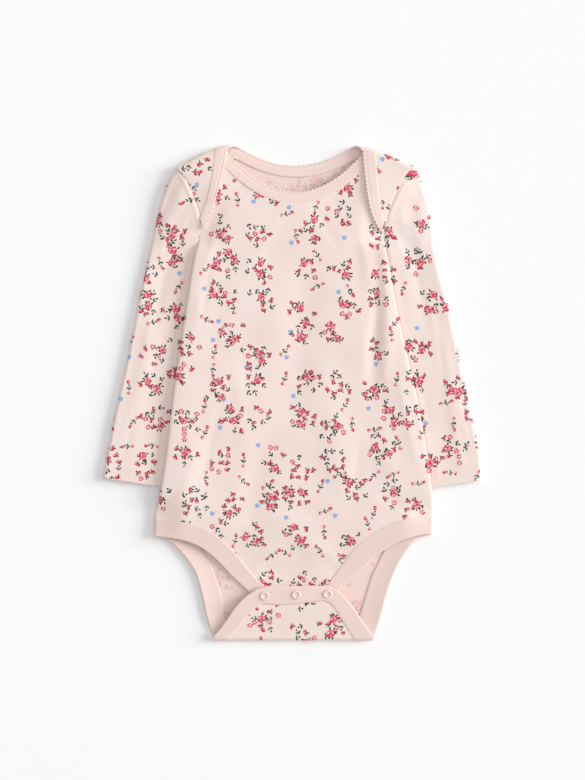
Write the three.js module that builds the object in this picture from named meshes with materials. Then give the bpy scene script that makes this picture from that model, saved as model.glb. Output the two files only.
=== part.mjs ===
// A long-sleeved baby bodysuit with lap shoulders and a three-snap crotch, laid flat with its front up.
// Millimetres. +X is the viewer's right, +Y points to the neck and +Z is up. The origin is on the table,
// under the middle of the garment's outline.

import * as THREE from 'three';

// Driving sizes
const CLOTH = 1.2; // wall of one layer of cotton jersey
const RIB = 2.0; // wall of a folded rib binding
const SEAM = 0.3; // gap between two pieces that are sewn together
const SIDE_SEAM = 0.6; // the same between front and back at the side folds, where the walls' ends lean
const FRONT_LEVEL = 5.4; // middle of the front panel's wall above the table, away from its edges
const CROTCH_LEVEL = 2.6; // the same where the front panel ends under the flap
const LAP_STEP = 2.4; // how far a shoulder lap lies above the front panel
const SIDE_FOLD = 2.2; // bend radius of the body's side folds
const SLEEVE_LIFT = 3.3; // how far the body's sides are raised by the sleeves under them
const UNDER_EDGE = 2.4; // middle of the sleeve's upper layer where the body lies on it
const SLEEVE_CROWN = 5.2; // the same along the middle of the sleeve
const SLEEVE_EDGE = 4.8; // the same at the sleeve's outer fold
const ARMHOLE_LEVEL = 5.8; // the same at the armhole seam, between the front panel and the lap
const NECK_BINDING = 9.5; // finished width of the neck binding
const FLAP_LEVEL = 7.2; // middle of the crotch flap's wall at its snaps
const FLAP_FOLD_LEVEL = 5.0; // the same just after the flap has turned up at the bottom fold
const BOTTOM_FOLD_Y = -199.8; // where the back panel starts to turn up
const HEM_RISE = 0.4; // how far the doubled cloth of a sleeve's hem stands up

// Half widths of the body from the hem of the hips to the shoulder tips. Above the underarm at
// UNDERARM_Y they follow the armhole seams.
const UNDERARM_Y = 128;
const BODY_SIDES = [
  { y: -117, left: -113.4, right: 115.4 },
  { y: -102, left: -112.6, right: 115.8 },
  { y: -85, left: -108.4, right: 114.8 },
  { y: -45, left: -102.2, right: 109.6 },
  { y: -4, left: -97.4, right: 102.1 },
  { y: 37, left: -91.4, right: 92.6 },
  { y: 80, left: -84.9, right: 83.4 },
  { y: 105, left: -81.0, right: 79.4 },
  { y: 128, left: -76.0, right: 75.6 },
  { y: 143, left: -74.8, right: 77.2 },
  { y: 154, left: -77.9, right: 81.0 },
  { y: 166, left: -82.6, right: 86.4 },
  { y: 178, left: -88.8, right: 93.0 },
  { y: 185, left: -94.5, right: 99.6 },
];

// The folded shoulder line, from one shoulder tip over both neck points to the other.
const SHOULDER = [
  { x: -94.7, y: 183.7 },
  { x: -80.0, y: 192.5 },
  { x: -66.4, y: 199.0 },
  { x: -57.0, y: 202.3 },
  { x: -48.0, y: 203.4 },
  { x: 52.7, y: 202.6 },
  { x: 57.0, y: 202.1 },
  { x: 66.3, y: 200.0 },
  { x: 82.0, y: 193.5 },
  { x: 97.7, y: 185.6 },
  { x: 101.4, y: 182.5 },
];

// The free edges of the neck. Each is a parabola: low is its lowest point and rise is how far it
// climbs at half its width from the middle.
const FRONT_NECK = { x: 2.5, low: 164.2, half: 54.1, rise: 30.3 };
const BACK_NECK = { x: 3.5, low: 186.3, half: 48.6, rise: 16.3 };

// Where the front panel is sewn to the leg bindings, from the hips in to the crotch.
const FRONT_LEG = [
  { x: -112.6, y: -103.4 },
  { x: -92.3, y: -103.9 },
  { x: -76.0, y: -107.8 },
  { x: -63.0, y: -114.3 },
  { x: -51.7, y: -124.8 },
  { x: -40.3, y: -137.8 },
  { x: -32.2, y: -148.4 },
  { x: -22.4, y: -157.6 },
  { x: 28.4, y: -157.6 },
  { x: 39.1, y: -142.7 },
  { x: 47.2, y: -131.4 },
  { x: 58.5, y: -119.1 },
  { x: 69.9, y: -111.0 },
  { x: 86.1, y: -104.6 },
  { x: 102.3, y: -100.9 },
  { x: 115.8, y: -99.9 },
];

// Where the back panel is sewn to the leg bindings, from the hips down to the bottom fold.
const BACK_LEG = [
  { leftX: -112.6, leftY: -103.1, rightX: 115.6, rightY: -99.8 },
  { leftX: -98.0, leftY: -106.4, rightX: 101.0, rightY: -103.4 },
  { leftX: -86.0, leftY: -114.0, rightX: 86.5, rightY: -112.4 },
  { leftX: -76.0, leftY: -125.0, rightX: 77.5, rightY: -125.0 },
  { leftX: -68.5, leftY: -137.0, rightX: 70.8, rightY: -138.0 },
  { leftX: -63.0, leftY: -150.0, rightX: 65.2, rightY: -150.0 },
  { leftX: -59.0, leftY: -163.0, rightX: 61.0, rightY: -163.0 },
  { leftX: -55.5, leftY: -178.0, rightX: 56.6, rightY: -178.0 },
  { leftX: -52.3, leftY: -191.0, rightX: 52.0, rightY: -191.0 },
  { leftX: -50.6, leftY: -199.8, rightX: 49.6, rightY: -199.8 },
];

// The two edges of each leg binding: the free edge round the leg and the edge sewn to a panel.
// It runs from the crotch along the front to the hip, round the side fold and down the back to the
// bottom fold, then up the side of the flap.
const LEG_BINDINGS = {
  left: {
    front: [
      { freeX: -31.2, freeY: -168.4, seamX: -22.4, seamY: -157.6 },
      { freeX: -39.4, freeY: -159.1, seamX: -28.2, seamY: -152.5 },
      { freeX: -50.0, freeY: -149.2, seamX: -36.5, seamY: -143.1 },
      { freeX: -60.5, freeY: -138.0, seamX: -46.0, seamY: -131.2 },
      { freeX: -71.1, freeY: -128.7, seamX: -57.0, seamY: -119.6 },
      { freeX: -81.0, freeY: -123.2, seamX: -71.0, seamY: -109.9 },
      { freeX: -92.3, freeY: -119.8, seamX: -87.0, seamY: -104.9 },
      { freeX: -103.0, freeY: -118.2, seamX: -101.0, seamY: -103.6 },
      { freeX: -110.6, freeY: -117.5, seamX: -109.8, seamY: -103.4 },
    ],
    back: [
      { freeX: -110.6, freeY: -117.5, seamX: -109.8, seamY: -103.6 },
      { freeX: -101.5, freeY: -121.1, seamX: -98.0, seamY: -106.4 },
      { freeX: -93.7, freeY: -127.4, seamX: -86.0, seamY: -114.0 },
      { freeX: -85.3, freeY: -137.4, seamX: -76.0, seamY: -125.0 },
      { freeX: -79.6, freeY: -146.5, seamX: -68.5, seamY: -137.0 },
      { freeX: -76.1, freeY: -156.4, seamX: -63.0, seamY: -150.0 },
      { freeX: -73.2, freeY: -167.7, seamX: -59.0, seamY: -163.0 },
      { freeX: -70.4, freeY: -181.8, seamX: -55.5, seamY: -178.0 },
      { freeX: -67.0, freeY: -193.4, seamX: -52.3, seamY: -191.0 },
      { freeX: -64.6, freeY: -199.8, seamX: -50.6, seamY: -199.8 },
    ],
    flap: [
      { freeX: -63.6, freeY: -198.0, seamX: -48.6, seamY: -198.0 },
      { freeX: -59.0, freeY: -192.6, seamX: -46.2, seamY: -195.0 },
      { freeX: -53.5, freeY: -185.3, seamX: -43.0, seamY: -191.2 },
      { freeX: -46.4, freeY: -174.9, seamX: -36.4, seamY: -182.6 },
      { freeX: -38.6, freeY: -166.6, seamX: -30.6, seamY: -176.4 },
      { freeX: -29.2, freeY: -160.2, seamX: -24.6, seamY: -172.2 },
    ],
  },
  right: {
    front: [
      { freeX: 35.6, freeY: -166.8, seamX: 28.4, seamY: -157.6 },
      { freeX: 42.2, freeY: -156.2, seamX: 33.2, seamY: -150.9 },
      { freeX: 50.3, freeY: -150.7, seamX: 39.1, seamY: -142.7 },
      { freeX: 58.8, freeY: -143.7, seamX: 46.5, seamY: -132.4 },
      { freeX: 66.6, freeY: -135.2, seamX: 55.0, seamY: -122.5 },
      { freeX: 75.0, freeY: -128.8, seamX: 64.5, seamY: -114.4 },
      { freeX: 85.0, freeY: -122.8, seamX: 77.0, seamY: -107.8 },
      { freeX: 96.0, freeY: -118.4, seamX: 91.0, seamY: -103.2 },
      { freeX: 106.4, freeY: -116.1, seamX: 104.6, seamY: -100.7 },
      { freeX: 112.6, freeY: -115.8, seamX: 113.0, seamY: -100.1 },
    ],
    back: [
      { freeX: 112.6, freeY: -116.2, seamX: 113.0, seamY: -100.9 },
      { freeX: 103.3, freeY: -119.6, seamX: 101.0, seamY: -103.8 },
      { freeX: 94.8, freeY: -128.2, seamX: 86.5, seamY: -112.4 },
      { freeX: 88.5, freeY: -138.0, seamX: 77.5, seamY: -125.0 },
      { freeX: 83.8, freeY: -148.0, seamX: 70.8, seamY: -138.0 },
      { freeX: 79.6, freeY: -159.0, seamX: 65.2, seamY: -150.0 },
      { freeX: 76.2, freeY: -170.4, seamX: 61.0, seamY: -163.0 },
      { freeX: 72.8, freeY: -183.4, seamX: 56.6, seamY: -178.0 },
      { freeX: 69.6, freeY: -194.0, seamX: 52.0, seamY: -191.0 },
      { freeX: 67.8, freeY: -199.8, seamX: 49.6, seamY: -199.8 },
    ],
    flap: [
      { freeX: 66.4, freeY: -198.0, seamX: 48.4, seamY: -198.0 },
      { freeX: 62.8, freeY: -193.8, seamX: 46.8, seamY: -195.4 },
      { freeX: 58.2, freeY: -187.0, seamX: 44.4, seamY: -191.6 },
      { freeX: 51.0, freeY: -176.4, seamX: 39.4, seamY: -183.6 },
      { freeX: 43.3, freeY: -166.5, seamX: 34.4, seamY: -175.6 },
      { freeX: 36.4, freeY: -160.2, seamX: 30.8, seamY: -171.6 },
    ],
  },
};

// The crotch tapes across the flap and across the front panel's end.
const FLAP_TAPE = [
  { freeX: -28.8, freeY: -160.0, seamX: -24.2, seamY: -171.9 },
  { freeX: -23.0, freeY: -158.3, seamX: -20.0, seamY: -172.6 },
  { freeX: -12.0, freeY: -157.8, seamX: -10.0, seamY: -173.1 },
  { freeX: 2.5, freeY: -157.7, seamX: 3.0, seamY: -172.6 },
  { freeX: 17.0, freeY: -157.4, seamX: 17.0, seamY: -170.5 },
  { freeX: 28.0, freeY: -157.6, seamX: 25.5, seamY: -169.9 },
  { freeX: 36.0, freeY: -160.0, seamX: 30.4, seamY: -171.4 },
];
const FRONT_TAPE = [
  { freeX: -30.6, freeY: -169.6, seamX: -22.0, seamY: -157.9 },
  { freeX: -24.0, freeY: -171.6, seamX: -18.0, seamY: -157.9 },
  { freeX: 2.5, freeY: -172.0, seamX: 2.5, seamY: -157.9 },
  { freeX: 28.0, freeY: -171.4, seamX: 24.0, seamY: -157.9 },
  { freeX: 35.2, freeY: -168.2, seamX: 28.0, seamY: -157.9 },
];

// The shoulder laps' bindings on the front, from the armhole up to the shoulder line.
const LAP_BINDINGS = {
  left: [
    { freeX: -72.2, freeY: 133.6, seamX: -75.0, seamY: 143.0 },
    { freeX: -68.6, freeY: 142.7, seamX: -73.4, seamY: 148.6 },
    { freeX: -64.6, freeY: 152.8, seamX: -70.4, seamY: 155.6 },
    { freeX: -60.7, freeY: 164.0, seamX: -67.8, seamY: 166.0 },
    { freeX: -57.6, freeY: 175.6, seamX: -65.8, seamY: 177.6 },
    { freeX: -55.0, freeY: 187.0, seamX: -64.2, seamY: 189.0 },
    { freeX: -53.2, freeY: 198.4, seamX: -63.4, seamY: 196.4 },
  ],
  right: [
    { freeX: 72.7, freeY: 130.8, seamX: 75.3, seamY: 138.2 },
    { freeX: 65.8, freeY: 143.6, seamX: 72.8, seamY: 150.4 },
    { freeX: 62.6, freeY: 154.4, seamX: 71.2, seamY: 159.6 },
    { freeX: 60.6, freeY: 166.0, seamX: 70.2, seamY: 170.6 },
    { freeX: 59.2, freeY: 178.0, seamX: 69.6, seamY: 181.0 },
    { freeX: 58.2, freeY: 189.4, seamX: 69.0, seamY: 189.8 },
    { freeX: 57.6, freeY: 198.4, seamX: 68.4, seamY: 195.6 },
  ],
};

// The two folded edges of each sleeve from the armhole to the cuff. The inner edge runs down beside
// the body as far as the third row and then goes under it.
const SLEEVES = {
  left: [
    { outerX: -93.0, outerY: 184.2, innerX: -77.2, innerY: 127.6 },
    { outerX: -100.9, outerY: 173.7, innerX: -78.9, innerY: 118.4 },
    { outerX: -106.2, outerY: 159.1, innerX: -80.8, innerY: 108.4 },
    { outerX: -110.4, outerY: 142.3, innerX: -74.4, innerY: 96.0 },
    { outerX: -114.6, outerY: 123.5, innerX: -69.4, innerY: 84.0 },
    { outerX: -118.7, outerY: 105.8, innerX: -69.6, innerY: 70.0 },
    { outerX: -127.1, outerY: 67.2, innerX: -74.0, innerY: 40.0 },
    { outerX: -134.5, outerY: 30.3, innerX: -79.4, innerY: 8.0 },
    { outerX: -144.8, outerY: -15.6, innerX: -86.4, innerY: -30.0 },
    { outerX: -152.8, outerY: -57.2, innerX: -92.5, innerY: -66.0 },
    { outerX: -155.1, outerY: -69.3, innerX: -94.3, innerY: -78.3 },
  ],
  right: [
    { outerX: 98.4, outerY: 184.0, innerX: 76.8, innerY: 127.6 },
    { outerX: 104.6, outerY: 173.2, innerX: 77.9, innerY: 118.4 },
    { outerX: 109.2, outerY: 158.0, innerX: 79.4, innerY: 108.4 },
    { outerX: 113.0, outerY: 142.3, innerX: 73.0, innerY: 96.0 },
    { outerX: 115.4, outerY: 123.5, innerX: 68.6, innerY: 84.0 },
    { outerX: 118.9, outerY: 105.8, innerX: 69.4, innerY: 70.0 },
    { outerX: 129.0, outerY: 67.2, innerX: 75.6, innerY: 40.0 },
    { outerX: 136.6, outerY: 30.3, innerX: 83.4, innerY: 8.0 },
    { outerX: 146.8, outerY: -15.6, innerX: 91.8, innerY: -30.0 },
    { outerX: 154.6, outerY: -57.2, innerX: 99.4, innerY: -66.0 },
    { outerX: 155.1, outerY: -71.0, innerX: 101.4, innerY: -79.0 },
  ],
};

// The largest soft folds. Each is a ridge, or a trough where its height is negative, centred on x, y
// and running along angle, with its own length, width and height.
const BODY_FOLDS = [
  { x: 66, y: 84, angle: 92, length: 150, width: 13, height: -1.5 },
  { x: -52, y: 60, angle: 84, length: 170, width: 22, height: 0.9 },
  { x: 6, y: 40, angle: 88, length: 190, width: 26, height: -0.8 },
  { x: 34, y: -30, angle: 97, length: 150, width: 24, height: 0.7 },
  { x: -30, y: -70, angle: 78, length: 120, width: 20, height: -0.7 },
  { x: 82, y: -62, angle: 106, length: 110, width: 18, height: 0.8 },
  { x: -84, y: -70, angle: 80, length: 100, width: 16, height: 0.7 },
  { x: 20, y: -128, angle: 150, length: 60, width: 12, height: 0.6 },
  { x: -60, y: 150, angle: 62, length: 60, width: 12, height: -0.6 },
];
const SLEEVE_FOLDS = [
  { x: -96, y: 150, angle: 64, length: 70, width: 12, height: 0.8 },
  { x: -104, y: 96, angle: 75, length: 110, width: 12, height: -1.0 },
  { x: -124, y: 10, angle: 78, length: 120, width: 15, height: 0.8 },
  { x: 92, y: 140, angle: 112, length: 70, width: 12, height: 0.7 },
  { x: 103, y: 96, angle: 105, length: 100, width: 12, height: -0.9 },
  { x: 130, y: 6, angle: 103, length: 120, width: 15, height: 0.8 },
];

// Snap fasteners, by the centre of each cap on the flap's tape.
const SNAPS = [
  { x: -22.4, y: -165.6 },
  { x: 3.4, y: -164.8 },
  { x: 29.0, y: -164.2 },
];
const SNAP_RADIUS = 3.7;
const SNAP_SIDES = 16;

const COLORS = { print: 0xf2ddd8, rib: 0xf3d9d5, snap: 0xefd0cb };

// Shared arithmetic

const mix = (a, b, share) => a + (b - a) * share;

function ease(low, high, value) {
  const share = THREE.MathUtils.clamp((value - low) / (high - low), 0, 1);
  return share * share * (3 - 2 * share);
}

// A smooth curve through a table's rows that never overshoots them.
function lookup(rows, key, value) {
  const steps = rows.slice(1).map((row, i) => row[key] - rows[i][key]);
  const slopes = steps.map((step, i) => (rows[i + 1][value] - rows[i][value]) / step);
  const tangents = rows.map((row, i) => {
    if (i === 0) return slopes[0];
    if (i === rows.length - 1) return slopes[i - 1];
    if (slopes[i - 1] * slopes[i] <= 0) return 0;
    return (2 * slopes[i - 1] * slopes[i]) / (slopes[i - 1] + slopes[i]);
  });
  return (at) => {
    if (at <= rows[0][key]) return rows[0][value];
    if (at >= rows[rows.length - 1][key]) return rows[rows.length - 1][value];
    const i = rows.findIndex((row) => row[key] > at) - 1;
    const t = (at - rows[i][key]) / steps[i];
    const rise = rows[i + 1][value] - rows[i][value];
    const start = tangents[i] * steps[i];
    const end = tangents[i + 1] * steps[i];
    return rows[i][value] + t * (start + t * (3 * rise - 2 * start - end + t * (start + end - 2 * rise)));
  };
}

// The same for several columns at once, by the row's number, so that between rows it gives a row.
function trail(rows) {
  const numbered = rows.map((row, i) => ({ ...row, number: i }));
  const columns = Object.keys(rows[0]).map((name) => [name, lookup(numbered, 'number', name)]);
  return (number) => Object.fromEntries(columns.map(([name, at]) => [name, at(number)]));
}

const stations = (first, last, count) =>
  Array.from({ length: count }, (unused, i) => mix(first, last, i / (count - 1)));

// Outlines

const leftSide = lookup(BODY_SIDES, 'y', 'left');
const rightSide = lookup(BODY_SIDES, 'y', 'right');
const shoulderY = lookup(SHOULDER, 'x', 'y');
const frontLegY = lookup(FRONT_LEG, 'x', 'y');

const neckY = (neck, x) => neck.low + neck.rise * ((x - neck.x) / neck.half) ** 2;

// A point of the neck's parabola moved down into the garment by the given distance.
function neckPoint(neck, x, inward) {
  const slope = (2 * neck.rise * (x - neck.x)) / neck.half ** 2;
  const length = Math.hypot(1, slope);
  return { x: x + (inward * slope) / length, y: neckY(neck, x) - inward / length };
}

// The seam line of a neck binding as a height over x, found by sampling the moved parabola.
function neckSeam(neck) {
  const rows = stations(neck.x - 70, neck.x + 70, 57).map((x) => neckPoint(neck, x, NECK_BINDING + SEAM));
  return lookup(rows, 'x', 'y');
}
const frontNeckSeam = neckSeam(FRONT_NECK);
const backNeckSeam = neckSeam(BACK_NECK);

// How far in from the nearer side of the body a point is.
const inFromSide = (x, y) => Math.min(x - leftSide(y), rightSide(y) - x);

// Heights of the middle of each layer's wall

function foldHeight(folds, x, y) {
  return folds.reduce((sum, fold) => {
    const turn = THREE.MathUtils.degToRad(fold.angle);
    const along = ((x - fold.x) * Math.cos(turn) + (y - fold.y) * Math.sin(turn)) / (fold.length / 2);
    const across = ((y - fold.y) * Math.cos(turn) - (x - fold.x) * Math.sin(turn)) / (fold.width / 2);
    return sum + fold.height * Math.exp(-across * across) * ease(1, 0.2, Math.abs(along));
  }, 0);
}

// The sleeves lie under the body's sides from the underarm to the cuffs.
const sideLift = (y) => SLEEVE_LIFT * ease(-99, -82, y) * ease(124, 112, y);

// The side fold opens into the armhole at the underarm.
const sideRoll = (y) => ease(UNDERARM_Y, UNDERARM_Y - 6, y);

// How far a rounded side fold has turned down at a distance in from its edge.
function rollDrop(inward, y) {
  if (inward >= SIDE_FOLD) return 0;
  const level = 1 - Math.max(inward, 0) / SIDE_FOLD;
  return sideRoll(y) * SIDE_FOLD * (1 - Math.sqrt(1 - level * level));
}

function frontHeight(x, y) {
  const inward = inFromSide(x, y);
  const side = CLOTH / 2 + 2 * SIDE_FOLD + SIDE_SEAM + sideLift(y);
  const level = mix(CROTCH_LEVEL, FRONT_LEVEL, ease(-160, -104, y));
  const sideShare = ease(28, SIDE_FOLD, inward) * ease(-125, -100, y) * sideRoll(y);
  const quiet = ease(2, 16, inward) * ease(-156, -140, y) * ease(186, 150, y);
  return mix(level, side, sideShare) + quiet * foldHeight(BODY_FOLDS, x, y);
}

const backHeight = (x, y) => CLOTH / 2 + sideLift(y) * ease(30, 20, inFromSide(x, y));

const lapHeight = (x, y) => mix(FRONT_LEVEL, frontHeight(x, y), ease(196, 176, y)) + LAP_STEP;

const flapHeight = (y) => mix(FLAP_FOLD_LEVEL, FLAP_LEVEL, ease(-199, -168, y));

// Closed walls round a middle surface

class Sheet {
  constructor(wall) {
    this.half = wall / 2;
    this.points = [];
    this.faces = [];
    this.known = new Map();
  }

  vertex(point) {
    const key = point.toArray().map((n) => Math.round(n * 100)).join(' ');
    if (!this.known.has(key)) {
      this.known.set(key, this.points.length);
      this.points.push(point.clone());
    }
    return this.known.get(key);
  }

  // Rows of points with the same count in each. Neighbouring grids join where their points meet.
  addGrid(rows) {
    const ids = rows.map((row) => row.map((point) => this.vertex(point)));
    for (let i = 0; i + 1 < ids.length; i++) {
      for (let j = 0; j + 1 < ids[i].length; j++) {
        const [a, b, c, d] = [ids[i][j], ids[i + 1][j], ids[i + 1][j + 1], ids[i][j + 1]];
        const along = this.points[a].distanceTo(this.points[c]) < this.points[b].distanceTo(this.points[d]);
        const pair = along ? [[a, b, c], [a, c, d]] : [[a, b, d], [b, c, d]];
        this.faces.push(...pair.filter((face) => new Set(face).size === 3));
      }
    }
    return this;
  }

  normals() {
    const sums = this.points.map(() => new THREE.Vector3());
    const [u, v] = [new THREE.Vector3(), new THREE.Vector3()];
    for (const [a, b, c] of this.faces) {
      u.subVectors(this.points[b], this.points[a]);
      v.subVectors(this.points[c], this.points[a]);
      u.cross(v);
      for (const id of [a, b, c]) sums[id].add(u);
    }
    return sums.map((sum) => sum.normalize());
  }

  geometry() {
    const normals = this.normals();
    const count = this.points.length;
    const positions = [];
    for (const side of [1, -1]) {
      this.points.forEach((point, i) => {
        positions.push(...point.clone().addScaledVector(normals[i], side * this.half).toArray());
      });
    }
    const index = [];
    const open = new Map();
    for (const [a, b, c] of this.faces) {
      index.push(a, b, c, count + a, count + c, count + b);
      for (const [from, to] of [[a, b], [b, c], [c, a]]) {
        if (!open.delete(`${to} ${from}`)) open.set(`${from} ${to}`, [from, to]);
      }
    }
    for (const [from, to] of open.values()) {
      index.push(from, count + from, to, to, count + from, count + to);
    }
    const geometry = new THREE.BufferGeometry();
    geometry.setAttribute('position', new THREE.Float32BufferAttribute(positions, 3));
    geometry.setIndex(volume(positions, index) > 0 ? index : index.reverse());
    geometry.computeVertexNormals();
    return geometry;
  }
}

function volume(positions, index) {
  const corner = (i) => new THREE.Vector3().fromArray(positions, 3 * index[i]);
  let sum = 0;
  for (let i = 0; i < index.length; i += 3) sum += corner(i).dot(corner(i + 1).cross(corner(i + 2)));
  return sum;
}

// The share of the flat width between the side folds at which a place lies.
function shareAt(x, y) {
  const start = leftSide(y) + CLOTH / 2 + SIDE_FOLD;
  const end = rightSide(y) - CLOTH / 2 - SIDE_FOLD;
  return (x - start) / (end - start);
}

// Columns of a body panel. The first and last few lie on the side folds, where turn is the angle round
// the fold, and the others share out the width between them.
const FOLD_TURNS = [0, 35, 62];

const columnsAt = (shares) => [
  ...FOLD_TURNS.map((turn) => ({ share: 0, turn, side: -1 })),
  ...shares.map((share) => ({ share, turn: 90, side: 0 })),
  ...FOLD_TURNS.map((turn) => ({ share: 1, turn, side: 1 })).reverse(),
];

// Two of the front's columns end at the corners of the crotch, and they are closest at its deepest fold.
const FRONT_COLUMNS = columnsAt([
  0, 0.03, 0.07, 0.12, 0.17, 0.22, 0.28, 0.34, shareAt(-22.4, -157.6), 0.45, 0.51, 0.57,
  shareAt(28.4, -157.6), 0.68, 0.74, 0.79, 0.82, 0.85, 0.88, 0.91, 0.94, 0.97, 1,
]);

// The place of a column between the two ends of a row.
function placeAcross(column, left, right) {
  const start = left + SIDE_FOLD;
  const end = right - SIDE_FOLD;
  const over = SIDE_FOLD * Math.cos(THREE.MathUtils.degToRad(column.turn));
  return mix(start, end, column.share) + column.side * over;
}

const sideToSide = (column, y) =>
  placeAcross(column, leftSide(y) + CLOTH / 2, rightSide(y) - CLOTH / 2);

// The point of a column that lies a share of the way from a level row to an outline.
function towards(column, fromY, outline, share) {
  let y = fromY;
  for (let i = 0; i < 12; i++) {
    y = mix(fromY, outline(sideToSide(column, y)), share);
  }
  return { x: sideToSide(column, y), y };
}

const HIP_Y = -70; // rows below this bend towards the leg seams
const HIP_SHARES = [0.84, 0.66, 0.44, 0.22];
const BODY_TOP_Y = 96; // rows above this bend towards the shoulders and the neck
const TOP_SHARES = [0.12, 0.22, 0.3, 0.38, 0.5, 0.64, 0.78, 0.9, 1];
const INSIDE_SHOULDER = 5.2; // the front panel ends this far inside the folded shoulder

function frontPlan() {
  const top = (x) => Math.min(shoulderY(x) - INSIDE_SHOULDER, frontNeckSeam(x));
  const bottom = (x) => frontLegY(x) + SEAM;
  const rows = [];
  for (const share of [1, ...HIP_SHARES]) {
    rows.push(FRONT_COLUMNS.map((column) => towards(column, HIP_Y, bottom, share)));
  }
  for (const y of stations(HIP_Y, BODY_TOP_Y, 11)) {
    rows.push(FRONT_COLUMNS.map((column) => ({ x: sideToSide(column, y), y })));
  }
  for (const share of TOP_SHARES) {
    rows.push(FRONT_COLUMNS.map((column) => towards(column, BODY_TOP_Y, top, share)));
  }
  return rows;
}

function frontPanel() {
  const rows = frontPlan().map((row) => row.map(({ x, y }) => {
    const inward = inFromSide(x, y) - CLOTH / 2;
    return new THREE.Vector3(x, y, frontHeight(x, y) - rollDrop(inward, y));
  }));
  return new Sheet(CLOTH).addGrid(rows).geometry();
}

// Rows that carry a row of points round a fold over the edge of the table plane. The fold bulges along
// +Y or -Y and ends at the height that top gives over each point.
const HALF_TURN = [30, 60, 90, 120, 150, 180];

function foldOver(row, direction, top) {
  return HALF_TURN.map((degrees) => {
    const turn = THREE.MathUtils.degToRad(degrees);
    return row.map((point) => {
      const radius = (top(point.x, point.y) - point.z) / 2;
      return new THREE.Vector3(
        point.x,
        point.y + direction * radius * Math.sin(turn),
        point.z + radius * (1 - Math.cos(turn)),
      );
    });
  });
}

const LAP_RADIUS = (FRONT_LEVEL + LAP_STEP - CLOTH / 2) / 2;
const RIB_FOLD_RADIUS = (FRONT_LEVEL + LAP_STEP - RIB / 2) / 2;

// Where a layer of the given wall starts to turn over the shoulder.
const shoulderStart = (x, wall, radius) => shoulderY(x) - wall / 2 - radius;

// Where the back neck binding starts to turn over each shoulder, and where it ends that turn in front.
const NECK_CORNERS = {
  left: { backFreeX: -39.2, backSeamX: -62.9, frontFreeX: -53.2, frontSeamX: -63.4 },
  right: { backFreeX: 45.0, backSeamX: 67.9, frontFreeX: 57.6, frontSeamX: 68.4 },
};

// The inner ends of the printed laps' shoulder folds.
const LAP_INNER_X = {
  left: NECK_CORNERS.left.frontSeamX - 2 * SEAM,
  right: NECK_CORNERS.right.frontSeamX + 2 * SEAM,
};

// The back's top edge is the shoulder fold out to the laps' inner ends, and the neck seam between them.
function backTopY(x) {
  const fold = shoulderStart(x, CLOTH, LAP_RADIUS);
  const inLap = x < LAP_INNER_X.left + 0.1 || x > LAP_INNER_X.right - 0.1;
  return inLap ? fold : Math.min(fold, backNeckSeam(x));
}

const LAP_COLUMNS = FOLD_TURNS.length + 5; // how many columns of the back panel run on into each lap

const backNeckEnd = (side) => neckPoint(BACK_NECK, NECK_CORNERS[side].backFreeX, NECK_BINDING + SEAM).x;

// Four of the back's columns run up to the inner ends of the laps and to the ends of the neck seam.
const BACK_COLUMNS = columnsAt([
  0, 0.04, 0.08, 0.12, shareAt(LAP_INNER_X.left, 190), shareAt(backNeckEnd('left'), 190), 0.32, 0.38,
  0.44, 0.5, 0.56, 0.62, 0.68, shareAt(backNeckEnd('right'), 190), shareAt(LAP_INNER_X.right, 190),
  0.88, 0.92, 0.96, 1,
]);

function backPanel() {
  const lift = ({ x, y }) => {
    const inward = inFromSide(x, y) - CLOTH / 2;
    return new THREE.Vector3(x, y, backHeight(x, y) + rollDrop(inward, y) * ease(-104, -100, y));
  };
  const rows = [...BACK_LEG].reverse().map((leg) => {
    const across = (column) => {
      const x = placeAcross(column, leg.leftX + SEAM, leg.rightX - SEAM);
      const share = (x - leg.leftX) / (leg.rightX - leg.leftX);
      return { x, y: mix(leg.leftY, leg.rightY, share) };
    };
    return BACK_COLUMNS.map(across);
  });
  const hip = BACK_LEG[0];
  const hipLine = (x) => mix(hip.leftY, hip.rightY, (x - hip.leftX) / (hip.rightX - hip.leftX));
  for (const share of HIP_SHARES) {
    rows.push(BACK_COLUMNS.map((column) => towards(column, HIP_Y, hipLine, share)));
  }
  for (const y of stations(HIP_Y, BODY_TOP_Y, 11)) {
    rows.push(BACK_COLUMNS.map((column) => ({ x: sideToSide(column, y), y })));
  }
  for (const share of TOP_SHARES) {
    rows.push(BACK_COLUMNS.map((column) => towards(column, BODY_TOP_Y, backTopY, share)));
  }
  const main = rows.map((row) => row.map(lift));
  const top = main[main.length - 1];
  return new Sheet(CLOTH)
    .addGrid(main)
    .addGrid(lap(top.slice(0, LAP_COLUMNS), 'left'))
    .addGrid(lap(top.slice(-LAP_COLUMNS), 'right'))
    .addGrid(flap(main[0]).reverse())
    .geometry();
}

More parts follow.
